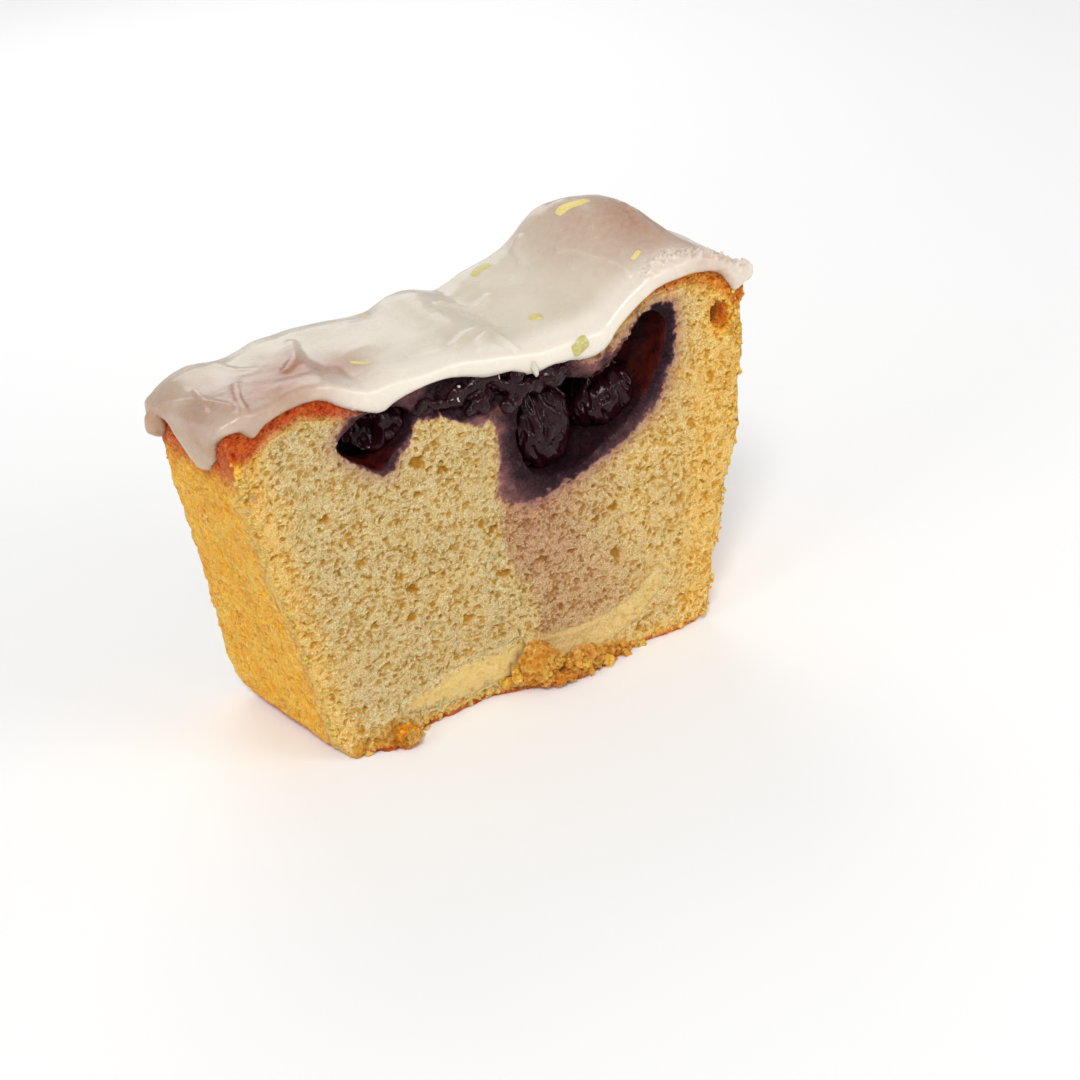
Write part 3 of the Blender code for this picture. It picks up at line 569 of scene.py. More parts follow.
class Graph:
    """Adds shader nodes to a tree, each fed as it is made."""

    def __init__(self, tree):
        self.tree = tree
        self.count = 0

    def add(self, kind, feeds=(), **settings):
        made = self.tree.nodes.new(kind)
        made.location = (self.count // 4 * 220 - 1600, self.count % 4 * -260)
        self.count += 1
        for name, value in settings.items():
            setattr(made, name, value)
        for socket, value in dict(feeds).items():
            self.feed(made.inputs[socket], value)
        return made

    def feed(self, socket, value):
        if isinstance(value, bpy.types.NodeSocket):
            self.tree.links.new(value, socket)
        elif isinstance(value, (tuple, list)) and socket.type == "RGBA":
            socket.default_value = (*value[:3], 1.0)
        else:
            socket.default_value = value

    def places(self):
        """Object coordinates in millimetres."""
        where = self.add("ShaderNodeTexCoord").outputs["Object"]
        scaled = self.add("ShaderNodeVectorMath", {0: where, 3: 1 / MM}, operation="SCALE")
        return scaled.outputs["Vector"]

    def read(self, name):
        return self.add("ShaderNodeAttribute", attribute_name=name).outputs["Fac"]

    def noise(self, where, size, detail=2.0, roughness=0.5):
        made = self.add("ShaderNodeTexNoise", {"Vector": where, "Scale": 1 / size, "Detail": detail,
                                               "Roughness": roughness})
        return made.outputs["Fac"]

    def span(self, value, low, high, to_low=0.0, to_high=1.0):
        made = self.add("ShaderNodeMapRange", {"Value": value, "From Min": low, "From Max": high,
                                               "To Min": to_low, "To Max": to_high})
        return made.outputs["Result"]

    def sum(self, operation, a, b=0.0, clamp=False):
        made = self.add("ShaderNodeMath", {0: a, 1: b}, operation=operation, use_clamp=clamp)
        return made.outputs["Value"]

    def blend(self, share, a, b):
        """A value between two, by a share."""
        return self.add("ShaderNodeMix", {0: share, 2: a, 3: b}, data_type="FLOAT").outputs[0]

    def mix(self, share, a, b, blend="MIX"):
        made = self.add("ShaderNodeMix", {0: share, 6: a, 7: b}, data_type="RGBA", blend_type=blend)
        return made.outputs[2]


def grain_group():
    """A fine spongy network, shared by the crumb, the loose crumbs and the lemon layer."""
    tree = bpy.data.node_groups.get("spongy_grain")
    if tree:
        return tree
    tree = bpy.data.node_groups.new("spongy_grain", "ShaderNodeTree")
    tree.interface.new_socket("Place", in_out="INPUT", socket_type="NodeSocketVector")
    size = tree.interface.new_socket("Size", in_out="INPUT", socket_type="NodeSocketFloat")
    size.default_value = 1.0
    for name in ("Pits", "Shade", "Height", "Wet"):
        tree.interface.new_socket(name, in_out="OUTPUT", socket_type="NodeSocketFloat")
    graph = Graph(tree)
    given = graph.add("NodeGroupInput")
    result = graph.add("NodeGroupOutput")
    often = graph.sum("DIVIDE", 1.0, given.outputs["Size"])
    where = given.outputs["Place"]
    bend = graph.add("ShaderNodeTexNoise", {"Vector": where, "Scale": graph.sum("MULTIPLY", often, 1.3),
                                            "Detail": 2.0})
    swing = graph.add("ShaderNodeVectorMath", {0: bend.outputs["Color"], 1: (0.5, 0.5, 0.5)},
                      operation="SUBTRACT")
    swing = graph.add("ShaderNodeVectorMath", {0: swing.outputs["Vector"], 3: 0.9}, operation="SCALE")
    place = graph.add("ShaderNodeVectorMath", {0: where, 1: swing.outputs["Vector"]}, operation="ADD")
    pits, lots = 0.0, []
    for finer, share, depth in ((1.0, 0.55, 1.0), (1.9, 0.45, 0.75), (3.4, 0.4, 0.5)):
        cells = graph.add("ShaderNodeTexVoronoi", {"Vector": place.outputs["Vector"],
                                                   "Scale": graph.sum("MULTIPLY", often, finer)})
        lot = graph.add("ShaderNodeSeparateColor", {"Color": cells.outputs["Color"]})
        open_cell = graph.span(lot.outputs["Red"], share, share + 0.15)
        deep = graph.sum("MULTIPLY", graph.span(cells.outputs["Distance"], 0.46, 0.12), open_cell)
        pits = graph.sum("MAXIMUM", pits, graph.sum("MULTIPLY", deep, depth))
        lots.append(lot)
    lumps = graph.add("ShaderNodeTexNoise", {"Vector": where, "Scale": graph.sum("MULTIPLY", often, 2.2),
                                             "Detail": 3.0, "Roughness": 0.7})
    height = graph.sum("SUBTRACT", graph.sum("MULTIPLY", lumps.outputs["Fac"], 0.9), pits)
    graph.feed(result.inputs["Pits"], pits)
    graph.feed(result.inputs["Shade"], graph.span(lumps.outputs["Fac"], 0.3, 0.7))
    graph.feed(result.inputs["Height"], height)
    # Wet cells: glossier where roughness reads them, and painted as lighter glints where colours read them
    graph.feed(result.inputs["Wet"], graph.span(lots[1].outputs["Green"], 0.6, 0.95))
    return tree


def material(name):
    """A new material, with its graph and its shader."""
    made = bpy.data.materials.new(name)
    made.use_nodes = True
    return made, Graph(made.node_tree), made.node_tree.nodes["Principled BSDF"]


def set_soft(shader, weight, radii):
    """Lets light soak into a surface: the share, and how far each colour goes in metres."""
    shader.inputs["Subsurface Weight"].default_value = weight
    shader.inputs["Subsurface Radius"].default_value = (1.0, radii[1] / radii[0], radii[2] / radii[0])
    shader.inputs["Subsurface Scale"].default_value = radii[0]


def crumb_colour(graph, settings, grain, patches):
    """Pale crumb with golden hollows painted darker as shade and bright grains painted as highlights, golder
    near the crust, blushed by juice.
    """
    broad = graph.noise(graph.places(), 9.0, 3.0)
    golden = graph.sum("ADD", graph.read("gold"), graph.span(broad, 0.38, 0.75, 0.0, 0.28), clamp=True)
    blush = graph.sum("MULTIPLY", graph.read("blush"), graph.span(patches, 0.2, 0.8, 0.72, 1.0))
    tones = []
    # Each tone plain, golden and blushed: the crumb itself, the painted shade of its hollows, and the painted
    # highlight of its raised grains
    for plain, rich, blushed in ((settings.pale, settings.golden, settings.blush),
                                 (settings.hollow, (0.68, 0.30, 0.022), (0.32, 0.115, 0.048)),
                                 ((0.87, 0.81, 0.60), (0.98, 0.84, 0.46), (0.74, 0.50, 0.34))):
        tone = graph.mix(golden, tuple(plain), tuple(rich))
        tones.append(graph.mix(blush, tone, tuple(blushed)))
    body, deep, grain_highlight_tone = tones
    # Holes and pits are painted darker as shade; raised grains away from them are painted lighter as
    # highlights and glints
    pits = graph.sum("MULTIPLY", grain.outputs["Pits"], 0.55)
    shade_in_hollows = graph.sum("ADD", graph.read("hollow"), pits, clamp=True)
    colour = graph.mix(shade_in_hollows, body, deep)
    raised = graph.sum("MULTIPLY", graph.span(grain.outputs["Shade"], 0.42, 0.86, 0.0, 0.95),
                       graph.span(shade_in_hollows, 0.05, 0.4, 1.0, 0.0))
    return graph.mix(raised, colour, grain_highlight_tone)


def crust_colour(graph, settings, grain, patches):
    """Grainy amber crust with pale smears, browner where it has baked most, its dips painted darker as shade
    and its raised grains painted lighter as highlights.
    """
    where = graph.places()
    uneven = graph.span(graph.noise(where, 3.2, 4.0, 0.6), 0.3, 0.75, -0.12, 0.26)
    bake = graph.sum("ADD", graph.read("bake"), uneven, clamp=True)
    crust = graph.mix(bake, tuple(settings.crust), tuple(settings.baked))
    smears = graph.span(graph.noise(where, 8.0, 4.0, 0.6), 0.45, 0.68, 0.0, 0.6)
    smears = graph.sum("MULTIPLY", smears, graph.span(bake, 0.15, 0.5, 1.0, 0.0))
    crust = graph.mix(smears, crust, (0.98, 0.63, 0.10))
    # Painted highlights and glints on the raised grains, partly the crust's own paler specks
    crust_grain_highlight = graph.mix(graph.span(bake, 0.2, 0.8, 0.85, 0.15), crust, (1.0, 0.74, 0.18))
    grains = graph.sum("MAXIMUM", graph.span(grain.outputs["Shade"], 0.5, 0.95),
                       graph.span(grain.outputs["Wet"], 0.3, 1, 0.0, 0.9))
    crust = graph.mix(graph.sum("MULTIPLY", grains, graph.span(patches, 0.3, 0.7, 0.5, 1.0)), crust, crust_grain_highlight)
    # Painted shade: dips and pits of the crust are darkened
    dip_shaded_crust = graph.mix(1.0, crust, (0.82, 0.48, 0.22), "MULTIPLY")
    shade_in_hollows = graph.sum("MAXIMUM", graph.read("hollow"), graph.sum("MULTIPLY", grain.outputs["Pits"], 0.85))
    return graph.mix(shade_in_hollows, crust, dip_shaded_crust)


def juice_colour(graph, settings, grain, patches):
    """Stained crumb, from a mauve tide line to nearly black, with painted highlights on its grains and
    painted glints on its wet cells.
    """
    stain = graph.read("stain")
    uneven = graph.sum("MULTIPLY", stain, graph.span(patches, 0.25, 0.75, 0.85, 1.12), clamp=True)
    tide = graph.add("ShaderNodeValToRGB", {"Fac": uneven})
    tones = ((0.0, (0.57, 0.30, 0.20)), (0.28, (0.255, 0.095, 0.100)), (0.55, (0.046, 0.014, 0.022)),
             (1.0, tuple(settings.juice)))
    stops = tide.color_ramp.elements
    while len(stops) < len(tones):
        stops.new(0.5)
    for stop, (position, tone) in zip(stops, tones):
        stop.position = position
        stop.color = (*tone, 1)
    # Painted highlights on the stained grains, and painted glints on its wet cells
    lit = graph.sum("MULTIPLY", grain.outputs["Shade"], graph.span(stain, 0.3, 0.8, 0.5, 0.0))
    painted_glints = graph.sum("MULTIPLY", graph.span(grain.outputs["Wet"], 0.5, 1, 0.0, 0.5),
                      graph.span(stain, 0.2, 1, 0.8, 0.15))
    return graph.mix(graph.sum("MAXIMUM", lit, painted_glints), tide.outputs["Color"], (0.42, 0.21, 0.18))


def crumb_material(settings):
    """The crumb and its crust, soaked, stained or torn as the stored numbers say."""
    made, graph, shader = material("moist_crumb")
    where = graph.places()
    grain = graph.add("ShaderNodeGroup", node_tree=grain_group())
    graph.feed(grain.inputs["Place"], where)
    graph.feed(grain.inputs["Size"], graph.span(graph.read("crust"), 0.45, 0.55, CRUMB_GRAIN, CRUST_GRAIN))
    patches = graph.noise(where, 2.4, 3.0)
    soak, stain, flesh = graph.read("soak"), graph.read("stain"), graph.read("flesh")
    colour = crumb_colour(graph, settings, grain, patches)
    lemon = tuple(bpy.context.scene.loaf_layer.colour)
    dense = graph.mix(graph.span(patches, 0.3, 0.7), lemon, (0.80, 0.59, 0.215))
    colour = graph.mix(graph.sum("MULTIPLY", soak, 0.75), colour, dense)
    colour = graph.mix(graph.read("crust"), colour, crust_colour(graph, settings, grain, patches))
    colour = graph.mix(graph.span(stain, 0.0, 0.30), colour, juice_colour(graph, settings, grain, patches))
    pulp = graph.mix(graph.span(patches, 0.35, 0.7), (0.095, 0.010, 0.006), (0.018, 0.002, 0.003))
    colour = graph.mix(flesh, colour, pulp)
    graph.feed(shader.inputs["Base Color"], colour)
    wet = graph.sum("MAXIMUM", soak, graph.sum("MULTIPLY", stain, 0.75))
    rough = graph.span(grain.outputs["Wet"], 0, 1, 0.55, 0.22)
    rough = graph.blend(wet, rough, 0.28)
    graph.feed(shader.inputs["Roughness"], graph.blend(flesh, rough, 0.18))
    calm = graph.sum("MAXIMUM", graph.sum("MULTIPLY", soak, 0.5), graph.sum("MULTIPLY", stain, 0.3))
    rise = graph.span(graph.read("crust"), 0.45, 0.55, 1.0, 2.0)
    height = graph.sum("MULTIPLY", grain.outputs["Height"], rise)
    bump = graph.add("ShaderNodeBump", {"Strength": graph.sum("SUBTRACT", 1.0, calm), "Distance": GRAIN_BUMP,
                                        "Height": height})
    graph.feed(shader.inputs["Normal"], bump.outputs["Normal"])
    set_soft(shader, 0.45, (1.3 * MM, 0.8 * MM, 0.3 * MM))
    graph.feed(shader.inputs["Specular IOR Level"], graph.blend(stain, 0.25, 0.12))
    return made


def icing_material(settings):
    """Set icing with grey and pink tints, whiter at its lip as painted light, and dry along the sugary ridge.
    """
    made, graph, shader = material("set_icing")
    where = graph.places()
    broad = graph.noise(where, 12.0, 3.0)
    fine = graph.noise(where, 1.4, 4.0, 0.6)
    white = tuple(settings.colour)
    grey = (white[0] * 0.90, white[1] * 0.89, white[2] * 0.86)
    colour = graph.mix(graph.span(broad, 0.35, 0.7), white, grey)
    # Painted light: the front lip is made whiter
    colour = graph.mix(graph.read("lip"), colour, (0.80, 0.74, 0.64))
    pink = graph.sum("MULTIPLY", graph.read("pink"), graph.span(fine, 0.2, 0.8, 0.75, 1.15), clamp=True)
    colour = graph.mix(pink, colour, tuple(settings.pink))
    amber = graph.mix(1.0, colour, (0.92, 0.80, 0.62), "MULTIPLY")
    colour = graph.mix(graph.read("thin"), colour, amber)
    graph.feed(shader.inputs["Base Color"], colour)
    rough = graph.span(graph.noise(where, 5.0, 3.0), 0.35, 0.7, 0.17, 0.34)
    graph.feed(shader.inputs["Roughness"], graph.blend(graph.read("sugar"), rough, 0.55))
    height = graph.sum("ADD", fine, graph.sum("MULTIPLY", graph.noise(where, 0.5, 3.0), 0.35))
    bump = graph.add("ShaderNodeBump", {"Strength": 0.35, "Distance": 0.14 * MM, "Height": height})
    graph.feed(shader.inputs["Normal"], bump.outputs["Normal"])
    set_soft(shader, 0.35, (3.2 * MM, 2.4 * MM, 1.7 * MM))
    return made


def berry_material(settings):
    """Dark wet skin with fine creases, and amber flesh where it is torn."""
    made, graph, shader = material("wet_berry")
    where = graph.places()
    patches = graph.noise(where, 2.6, 4.0, 0.6)
    skin, flesh = tuple(settings.skin), tuple(settings.flesh)
    colour = graph.mix(graph.span(patches, 0.52, 0.72), skin, tuple(1.8 * c for c in skin))
    amber = graph.mix(graph.span(graph.noise(where, 4.0, 2.0), 0.45, 0.65), flesh, (0.085, 0.014, 0.004))
    colour = graph.mix(graph.read("torn"), colour, amber)
    graph.feed(shader.inputs["Base Color"], colour)
    graph.feed(shader.inputs["Roughness"], graph.span(patches, 0.3, 0.7, 0.06, 0.15))
    along = graph.add("ShaderNodeVectorMath", {0: where, 1: (1.0, 1.0, 0.3)}, operation="MULTIPLY")
    creases = graph.noise(along.outputs["Vector"], 0.8, 3.0, 0.6)
    calm = graph.span(graph.read("torn"), 0, 1, 0.45, 0.15)
    bump = graph.add("ShaderNodeBump", {"Strength": calm, "Distance": 0.35 * MM, "Height": creases})
    graph.feed(shader.inputs["Normal"], bump.outputs["Normal"])
    shader.inputs["Specular IOR Level"].default_value = 0.22
    return made


def zest_material(settings):
    """Yellow, green or orange peel with paler flecks of oil."""
    made, graph, shader = material("lemon_zest")
    where = graph.places()
    yellow, green = tuple(settings.yellow_zest), tuple(settings.green_zest)
    colour = graph.mix(graph.read("green"), yellow, green)
    colour = graph.mix(graph.read("orange"), colour, (0.80, 0.26, 0.02))
    oil = graph.noise(where, 0.7, 3.0, 0.6)
    colour = graph.mix(graph.span(oil, 0.45, 0.75, 0.0, 0.5), colour, (0.80, 0.74, 0.52))
    graph.feed(shader.inputs["Base Color"], colour)
    graph.feed(shader.inputs["Roughness"], graph.span(oil, 0.3, 0.7, 0.3, 0.5))
    bump = graph.add("ShaderNodeBump", {"Strength": 0.5, "Distance": 0.12 * MM, "Height": oil})
    graph.feed(shader.inputs["Normal"], bump.outputs["Normal"])
    set_soft(shader, 0.2, (1.5 * MM, 1.0 * MM, 0.4 * MM))
    return made


def shared_material(name, maker, settings):
    """A finish that several pieces share, made once."""
    return bpy.data.materials.get(name) or maker(settings)


def near_masks(x, y, z, relief):
    """The stain, blush and soak of the crumb, each from 0 to 1, at places in millimetres."""
    jitter, fine = on_map(relief["jitter"], x, z), on_map(relief["fine"], x, z)
    near = 1 - eased(NEAR_CUT + CUT_LEAN, NEAR_CUT + 16.0, y)
    reach = reach_into(STAINED, x, z) + 0.35 * jitter + 0.55 * fine
    away = np.clip(-np.maximum(reach_into(POCKETS[0], x, z), reach_into(POCKETS[1], x, z)), 0, None)
    # The stain is darkest by the pockets and on the bridge of crumb between them, and paler at some rims
    wash = 0.50 + 0.50 * np.exp(-(away / 3.3) ** 2)
    bridge = eased(-19, -13, x) * eased(8, 3, x) * eased(64.5, 68, z)
    wash = np.maximum(wash, 0.95 * bridge)
    low_left = eased(3, -1, x) * eased(68, 63, z) * (x > -12)
    low_right = eased(14, 26, x) * eased(64, 52, z)
    left_rim = eased(-14, -19, x)
    roof = eased(16, 21, x) * eased(38, 33, x) * eased(66, 68.5, z)
    wash = wash * (1 - 0.38 * roof) * (1 - 0.30 * low_left) * (1 - 0.25 * low_right) * (1 - 0.35 * left_rim)
    stain = eased(-0.6, 0.7, reach) * np.clip(wash + 0.10 * jitter, 0, 1) * near
    soft = 0.20 * np.exp(-(np.clip(-reach, 0, None) / 2.4) ** 2) * near
    soft *= eased(0, 6, x) + 0.8 * eased(-19, -23, x)
    stain = np.maximum(stain, soft)
    # Round stains on the far cut
    ring = np.full(len(x), 9.0)
    for cx, cz, wide, high in FAR_STAINS:
        ring = np.minimum(ring, np.hypot((x - cx) / wide, (z - cz) / high))
    far = eased(1.30, 0.75, ring + 0.20 * jitter + 0.08 * fine) * np.clip(0.72 + 0.30 * jitter, 0, 1)
    stain = np.maximum(stain, far * eased(-2.0, 6.0, y))
    # The blush starts sharply at its edge and fades to the right, and rings the far stains
    edge = np.interp(z, *zip(*BLUSH_EDGE)) + 1.3 * jitter + 0.9 * fine
    blush = eased(-1.3, 1.6, x - edge) * (1 - eased(8.0, 34.0, x - edge + 4 * jitter)) * near
    blush = blush * eased(3.0, 10.0, z) * (1 - 0.30 * eased(45.0, 20.0, z))
    blush = np.maximum(blush, 0.8 * eased(2.0, 1.0, ring + 0.2 * jitter) * eased(-2.0, 6.0, y))
    # The layer's lemon soaks a little way into the crumb above and below its middle line
    line = np.interp(x, *zip(*LAYER_LINE)) + 1.5 * (y - NEAR_CUT) / 38
    wide = np.interp(x, (-30, -24, -14, -2, 8, 20, 34), (0.3, 1.2, 3.1, 3.3, 2.6, 2.0, 1.8))
    soft = np.interp(x, (0, 12), (0.9, 3.2))
    off = np.abs(z - line) + 0.5 * jitter + 0.4 * fine
    soak = (1 - eased(0, 1, (off - wide + 0.3) / soft)) * eased(-31, -25, x) * eased(42, 30, x)
    return stain, blush, soak * np.interp(x, (0, 12), (0.92, 0.70))


def crumb_surface(piece, relief, near, far, inner):
    """Where a crumb skin's points sink to, in millimetres, what stains them, and how much painted shade their
    holes get.
    """
    places = points_of(piece)
    x, y, z = places.T
    settings = bpy.context.scene.loaf_crumb
    stain, blush, soak = near_masks(x, y, z, relief)
    dense = (1 - 0.45 * soak) * (1 - 0.5 * eased(0.25, 0.6, stain))
    holes = (near * on_map(relief["near"], x, z) + far * on_map(relief["far"], x, z)) * dense
    grain = (near * on_map(relief["near_grain"], x, z) + far * on_map(relief["far_grain"], x, z)) * dense
    torn = on_map(relief["torn"], x, z) * stain * (1 - inner)
    mush = eased(-20, -14, x) * eased(36, 32, x) * eased(65, 68, z) * near
    depth = holes * settings.depth / MM - settings.granules / MM * grain + on_map(relief["broad"], x, z)
    depth += (0.7 + 1.1 * mush) * torn
    edge = np.interp(z, *zip(*BLUSH_EDGE)) + 0.9 * on_map(relief["jitter"], x, z)
    step = near * (0.6 * eased(-0.9, 0.8, x - edge) * eased(14, 34, z) - 0.2)
    places[:, 1] += near * (depth + step) - far * depth
    return places, stain, blush, soak, np.clip(holes - 0.30 * grain, 0, 1)


def crumb_relief():
    """Maps of the holes, the grain and the unevenness of both cuts, made once."""
    if not RELIEF:
        settings = bpy.context.scene.loaf_crumb
        RELIEF["near"], RELIEF["near_grain"] = cut_relief(settings.seed, WIDE_HOLES)
        RELIEF["far"], RELIEF["far_grain"] = cut_relief(settings.seed + 50)
        RELIEF["jitter"] = soft_noise(2.2, 91)
        RELIEF["fine"] = soft_noise(0.9, 92)
        RELIEF["broad"] = 0.28 * soft_noise(7.0, 94)
        RELIEF["torn"] = 0.55 * soft_noise(2.6, 95) + 0.35 * soft_noise(1.2, 96)
    return RELIEF


def golden_share(x, z, near, far):
    """How golden the crumb is: most near the crust."""
    from_left = eased(0, 10, x + 46.0 + 0.155 * z)
    from_right = eased(0, 13, 49 + 0.14 * z - x)
    from_foot = eased(0, 6, z)
    gold = 1 - from_left * from_right * (0.45 + 0.55 * from_foot)
    return np.clip(gold + 0.35 * eased(12, 42, x) * near + 0.15 * far, 0, 1)


def cut_relief(seed, known_holes=()):
    """Maps of one cut's crumb: how deep its holes are, and its fine granules."""
    holes = HoleMap(seed)
    settings = bpy.context.scene.loaf_crumb
    for x, z, wide, high in known_holes:
        column, row = round((x - MAP_LOW[0]) / MAP_STEP), round((z - MAP_LOW[1]) / MAP_STEP)
        holes.dig(column, row, 1.25 * wide, 1.25 * high, 0.0, min(2.2, 1.1 * wide))
    holes.add(settings.holes, 0.40, 0.85, 1.0)
    holes.add(60, 0.8, 1.4, 1.25)
    pores = np.zeros_like(holes.field)
    for size, depth, closed in ((1.05, 0.85, 0.62), (0.68, 0.60, 0.50)):
        _, wall, lot = cell_map(size, seed + round(100 * size))
        pores = np.maximum(pores, depth * eased(closed, 1.0, lot) * eased(0.04, 0.42, wall))
    middle, _, lot = cell_map(0.5, seed + 20, 1.1)
    return np.maximum(holes.field, pores), (0.4 + lot) * (1 - 1.6 * middle ** 2) - 0.3


class LOAF_OT_sponge(bpy.types.Operator):
    """Makes the sponge in three parts: holed crumb on the cuts and grainy crust round them"""

    bl_idname = "loaf.sponge"
    bl_label = "Make Sponge"

    def execute(self, context):
        settings = context.scene.loaf_crumb
        piece = copy_of("sponge", "whole_sponge")
        even_skin(piece, settings.square, 3)
        middles, facing = face_facts(piece)
        front = (facing[:, 1] < -0.55) & (middles[:, 1] < NEAR_CUT + CUT_LEAN)
        lumps = (middles[:, 1] < NEAR_CUT - 0.8) & (middles[:, 2] < 16)
        split_faces(piece, front | lumps, 3)
        middles, facing = face_facts(piece)
        coarse = (facing[:, 1] > 0.55) & (middles[:, 1] > 6)
        split_faces(piece, coarse | ((facing[:, 0] < -0.75) & (middles[:, 0] < -40)), 1)
        self.shape(piece, crumb_relief())
        finish = shared_material("moist_crumb", crumb_material, settings)
        back, forth = ((0, SPLIT_PLANE * MM, 0), (0, 1, 0)), ((0, SPLIT_PLANE * MM, 0), (0, -1, 0))
        left, right = ((SPLIT_ACROSS * MM, 0, 0), (1, 0, 0)), ((SPLIT_ACROSS * MM, 0, 0), (-1, 0, 0))
        for name, walls in zip(SPONGE_PARTS, ((back, left), (back, right), (forth,))):
            part = part_of(piece, name, walls)
            part.data.materials.append(finish)
            ride_and_replace(part, "sponge", "sponge")
        bpy.data.objects.remove(piece, do_unlink=True)
        return {"FINISHED"}

    def shape(self, piece, relief):
        """Moves the skin into holes and grain, and stores what the crumb's colours need."""
        places, ways = points_of(piece), outward(piece)
        x, y, z = places.T
        near, far = facing_cuts(ways)
        near, far = near * (y < NEAR_CUT + CUT_LEAN), far * (y > 4)
        cut = np.maximum(near, far)
        inner = (1 - cut) * self.inside(x, z)
        crust = np.clip(1 - cut - inner, 0, 1)
        lump = eased(NEAR_CUT - 0.5, NEAR_CUT - 1.5, y) * eased(16, 13, z) * eased(-12, -6, x)
        foot = eased(NEAR_CUT - 0.8, NEAR_CUT - 1.8, y) * eased(8, 5, z) * eased(-18, -22, x)
        wall = inner * (z > 40) * eased(49, 46, x)
        flesh = wall * np.maximum(eased(24, 31, x) * eased(56, 62, z) * eased(24, -2, y), eased(-21, -25, x))
        places, stain, blush, soak, hollow = crumb_surface(piece, relief, near, far, inner)
        stain = np.maximum(stain * (1 - inner * (x > 46)), 0.95 * wall)
        ragged = 4 * cut * (1 - cut) * (1 - inner) * np.where(x < -40, 0.4, 1.0)
        places += ways * (ragged * 0.7 * on_map(relief["torn"], x + 0.7 * y, z))[:, None]
        move_points(piece, places)
        group = group_of(piece, "crust_skin", np.clip(crust + 0.2 * inner, 0, 1))
        roughen(piece, "CLOUDS", 2.4 * MM, 0.8 * MM, group, noise_depth=3)
        roughen(piece, "VORONOI", 1.2 * MM, 0.55 * MM, group)
        group = group_of(piece, "lump_skin", np.clip(lump + foot, 0, 1))
        roughen(piece, "CLOUDS", 2.2 * MM, 1.6 * MM, group, noise_depth=2)
        roughen(piece, "VORONOI", 1.1 * MM, 1.1 * MM, group)
        smooth, places = places, points_of(piece)
        raised = ((places - smooth) * ways).sum(1)
        # Dips of the crust and of the lumps join the painted shade, with less of it by the cut's left edge
        shaded_dips = np.where(lump + foot > 0.3, eased(0.9, -0.5, raised), 0.8 * eased(0.05, -0.40, raised))
        hollow = np.maximum(hollow, shaded_dips * np.clip(crust + lump + foot, 0, 1))
        hollow = hollow * (1 - 0.7 * eased(5, 1, y - NEAR_CUT) * (1 - cut) * (x < -40))
        places[:, 2] = np.maximum(places[:, 2], FLOOR_GAP)
        move_points(piece, places)
        stain, lump = np.clip(stain, 0, 1), np.clip(lump, 0, 1)
        keep(piece, "hollow", hollow)
        keep(piece, "gold", golden_share(x, z, near, far))
        keep(piece, "stain", stain)
        keep(piece, "blush", np.clip(blush, 0, 1))
        keep(piece, "soak", np.clip(soak * cut * (1 - lump), 0, 1))
        keep(piece, "flesh", np.clip(flesh, 0, 1))
        band = np.where(far > near, self.far_top(x, z, far), self.browned(x, z)) * cut
        corner = eased(-53.5, -57.5, x - 0.10 * (z - 72)) * eased(58, 72, z)
        wide_hole = near * eased(1.3, 0.8, np.hypot((x - 56.6) / 2.8, (z - 71.2) / 4.4))
        crusty = np.maximum.reduce([crust, band, corner, 0.50 * lump, 0.85 * wide_hole])
        edge = eased(6.5, 0.5, y - NEAR_CUT + 1.5 * on_map(relief["jitter"], z, 1.5 * y))
        crusty *= 1 - 0.7 * edge * (x < -40) * eased(74, 64, z)
        keep(piece, "crust", np.clip(crusty, 0, 1) * (1 - eased(0.2, 0.5, stain) * (z > 45)))
        bake = np.maximum(0.95 * eased(63, 73, z), 0.85 * (1 - eased(0, 4, z))) + 0.15 * far
        on_cut = (0.95 - 0.35 * eased(25, 45, x)) * eased(0.25, 0.9, band) * eased(1.0, 0.3, wide_hole)
        bake = np.where(crust > 0.5, bake, np.where(lump > 0.3, 0.12 + 0.5 * eased(6, 1, z), on_cut))
        keep(piece, "bake", np.clip(bake, 0, 1))

    def inside(self, x, z):
        """1 well inside the slice's outline, where only pocket walls and the layer's slot lie."""
        low, high = -46 - 0.18 * z, 48 + 0.16 * z
        return eased(2.5, 5.0, np.minimum.reduce([x - low, high - x, 78 - z, z - 2.5]))

    def far_top(self, x, z, far):
        """The browned crumb just under the top of the far cut, and at its foot."""
        columns = np.round(x / 2).astype(int)
        columns -= columns.min()
        top = np.full(columns.max() + 1, -9.0)
        np.maximum.at(top, columns[far > 0.9], z[far > 0.9])
        top = np.convolve(np.pad(top, 2, "edge"), np.ones(5) / 5, "valid")
        return np.clip(1 - eased(1.0, 3.4, top[columns] - z) + 0.9 * (1 - eased(0.8, 2.4, z)), 0, 1)

    def browned(self, x, z):
        """The browned crumb along the top of a cut, and the thin line at its foot."""
        across, top, reach = np.array(BROWNED_TOP, float).T
        down = (np.interp(x, across, top) - z) / np.interp(x, across, reach)
        return np.clip(1 - eased(0.35, 1.25, down) + 0.9 * (1 - eased(0.8, 2.4, z)), 0, 1)


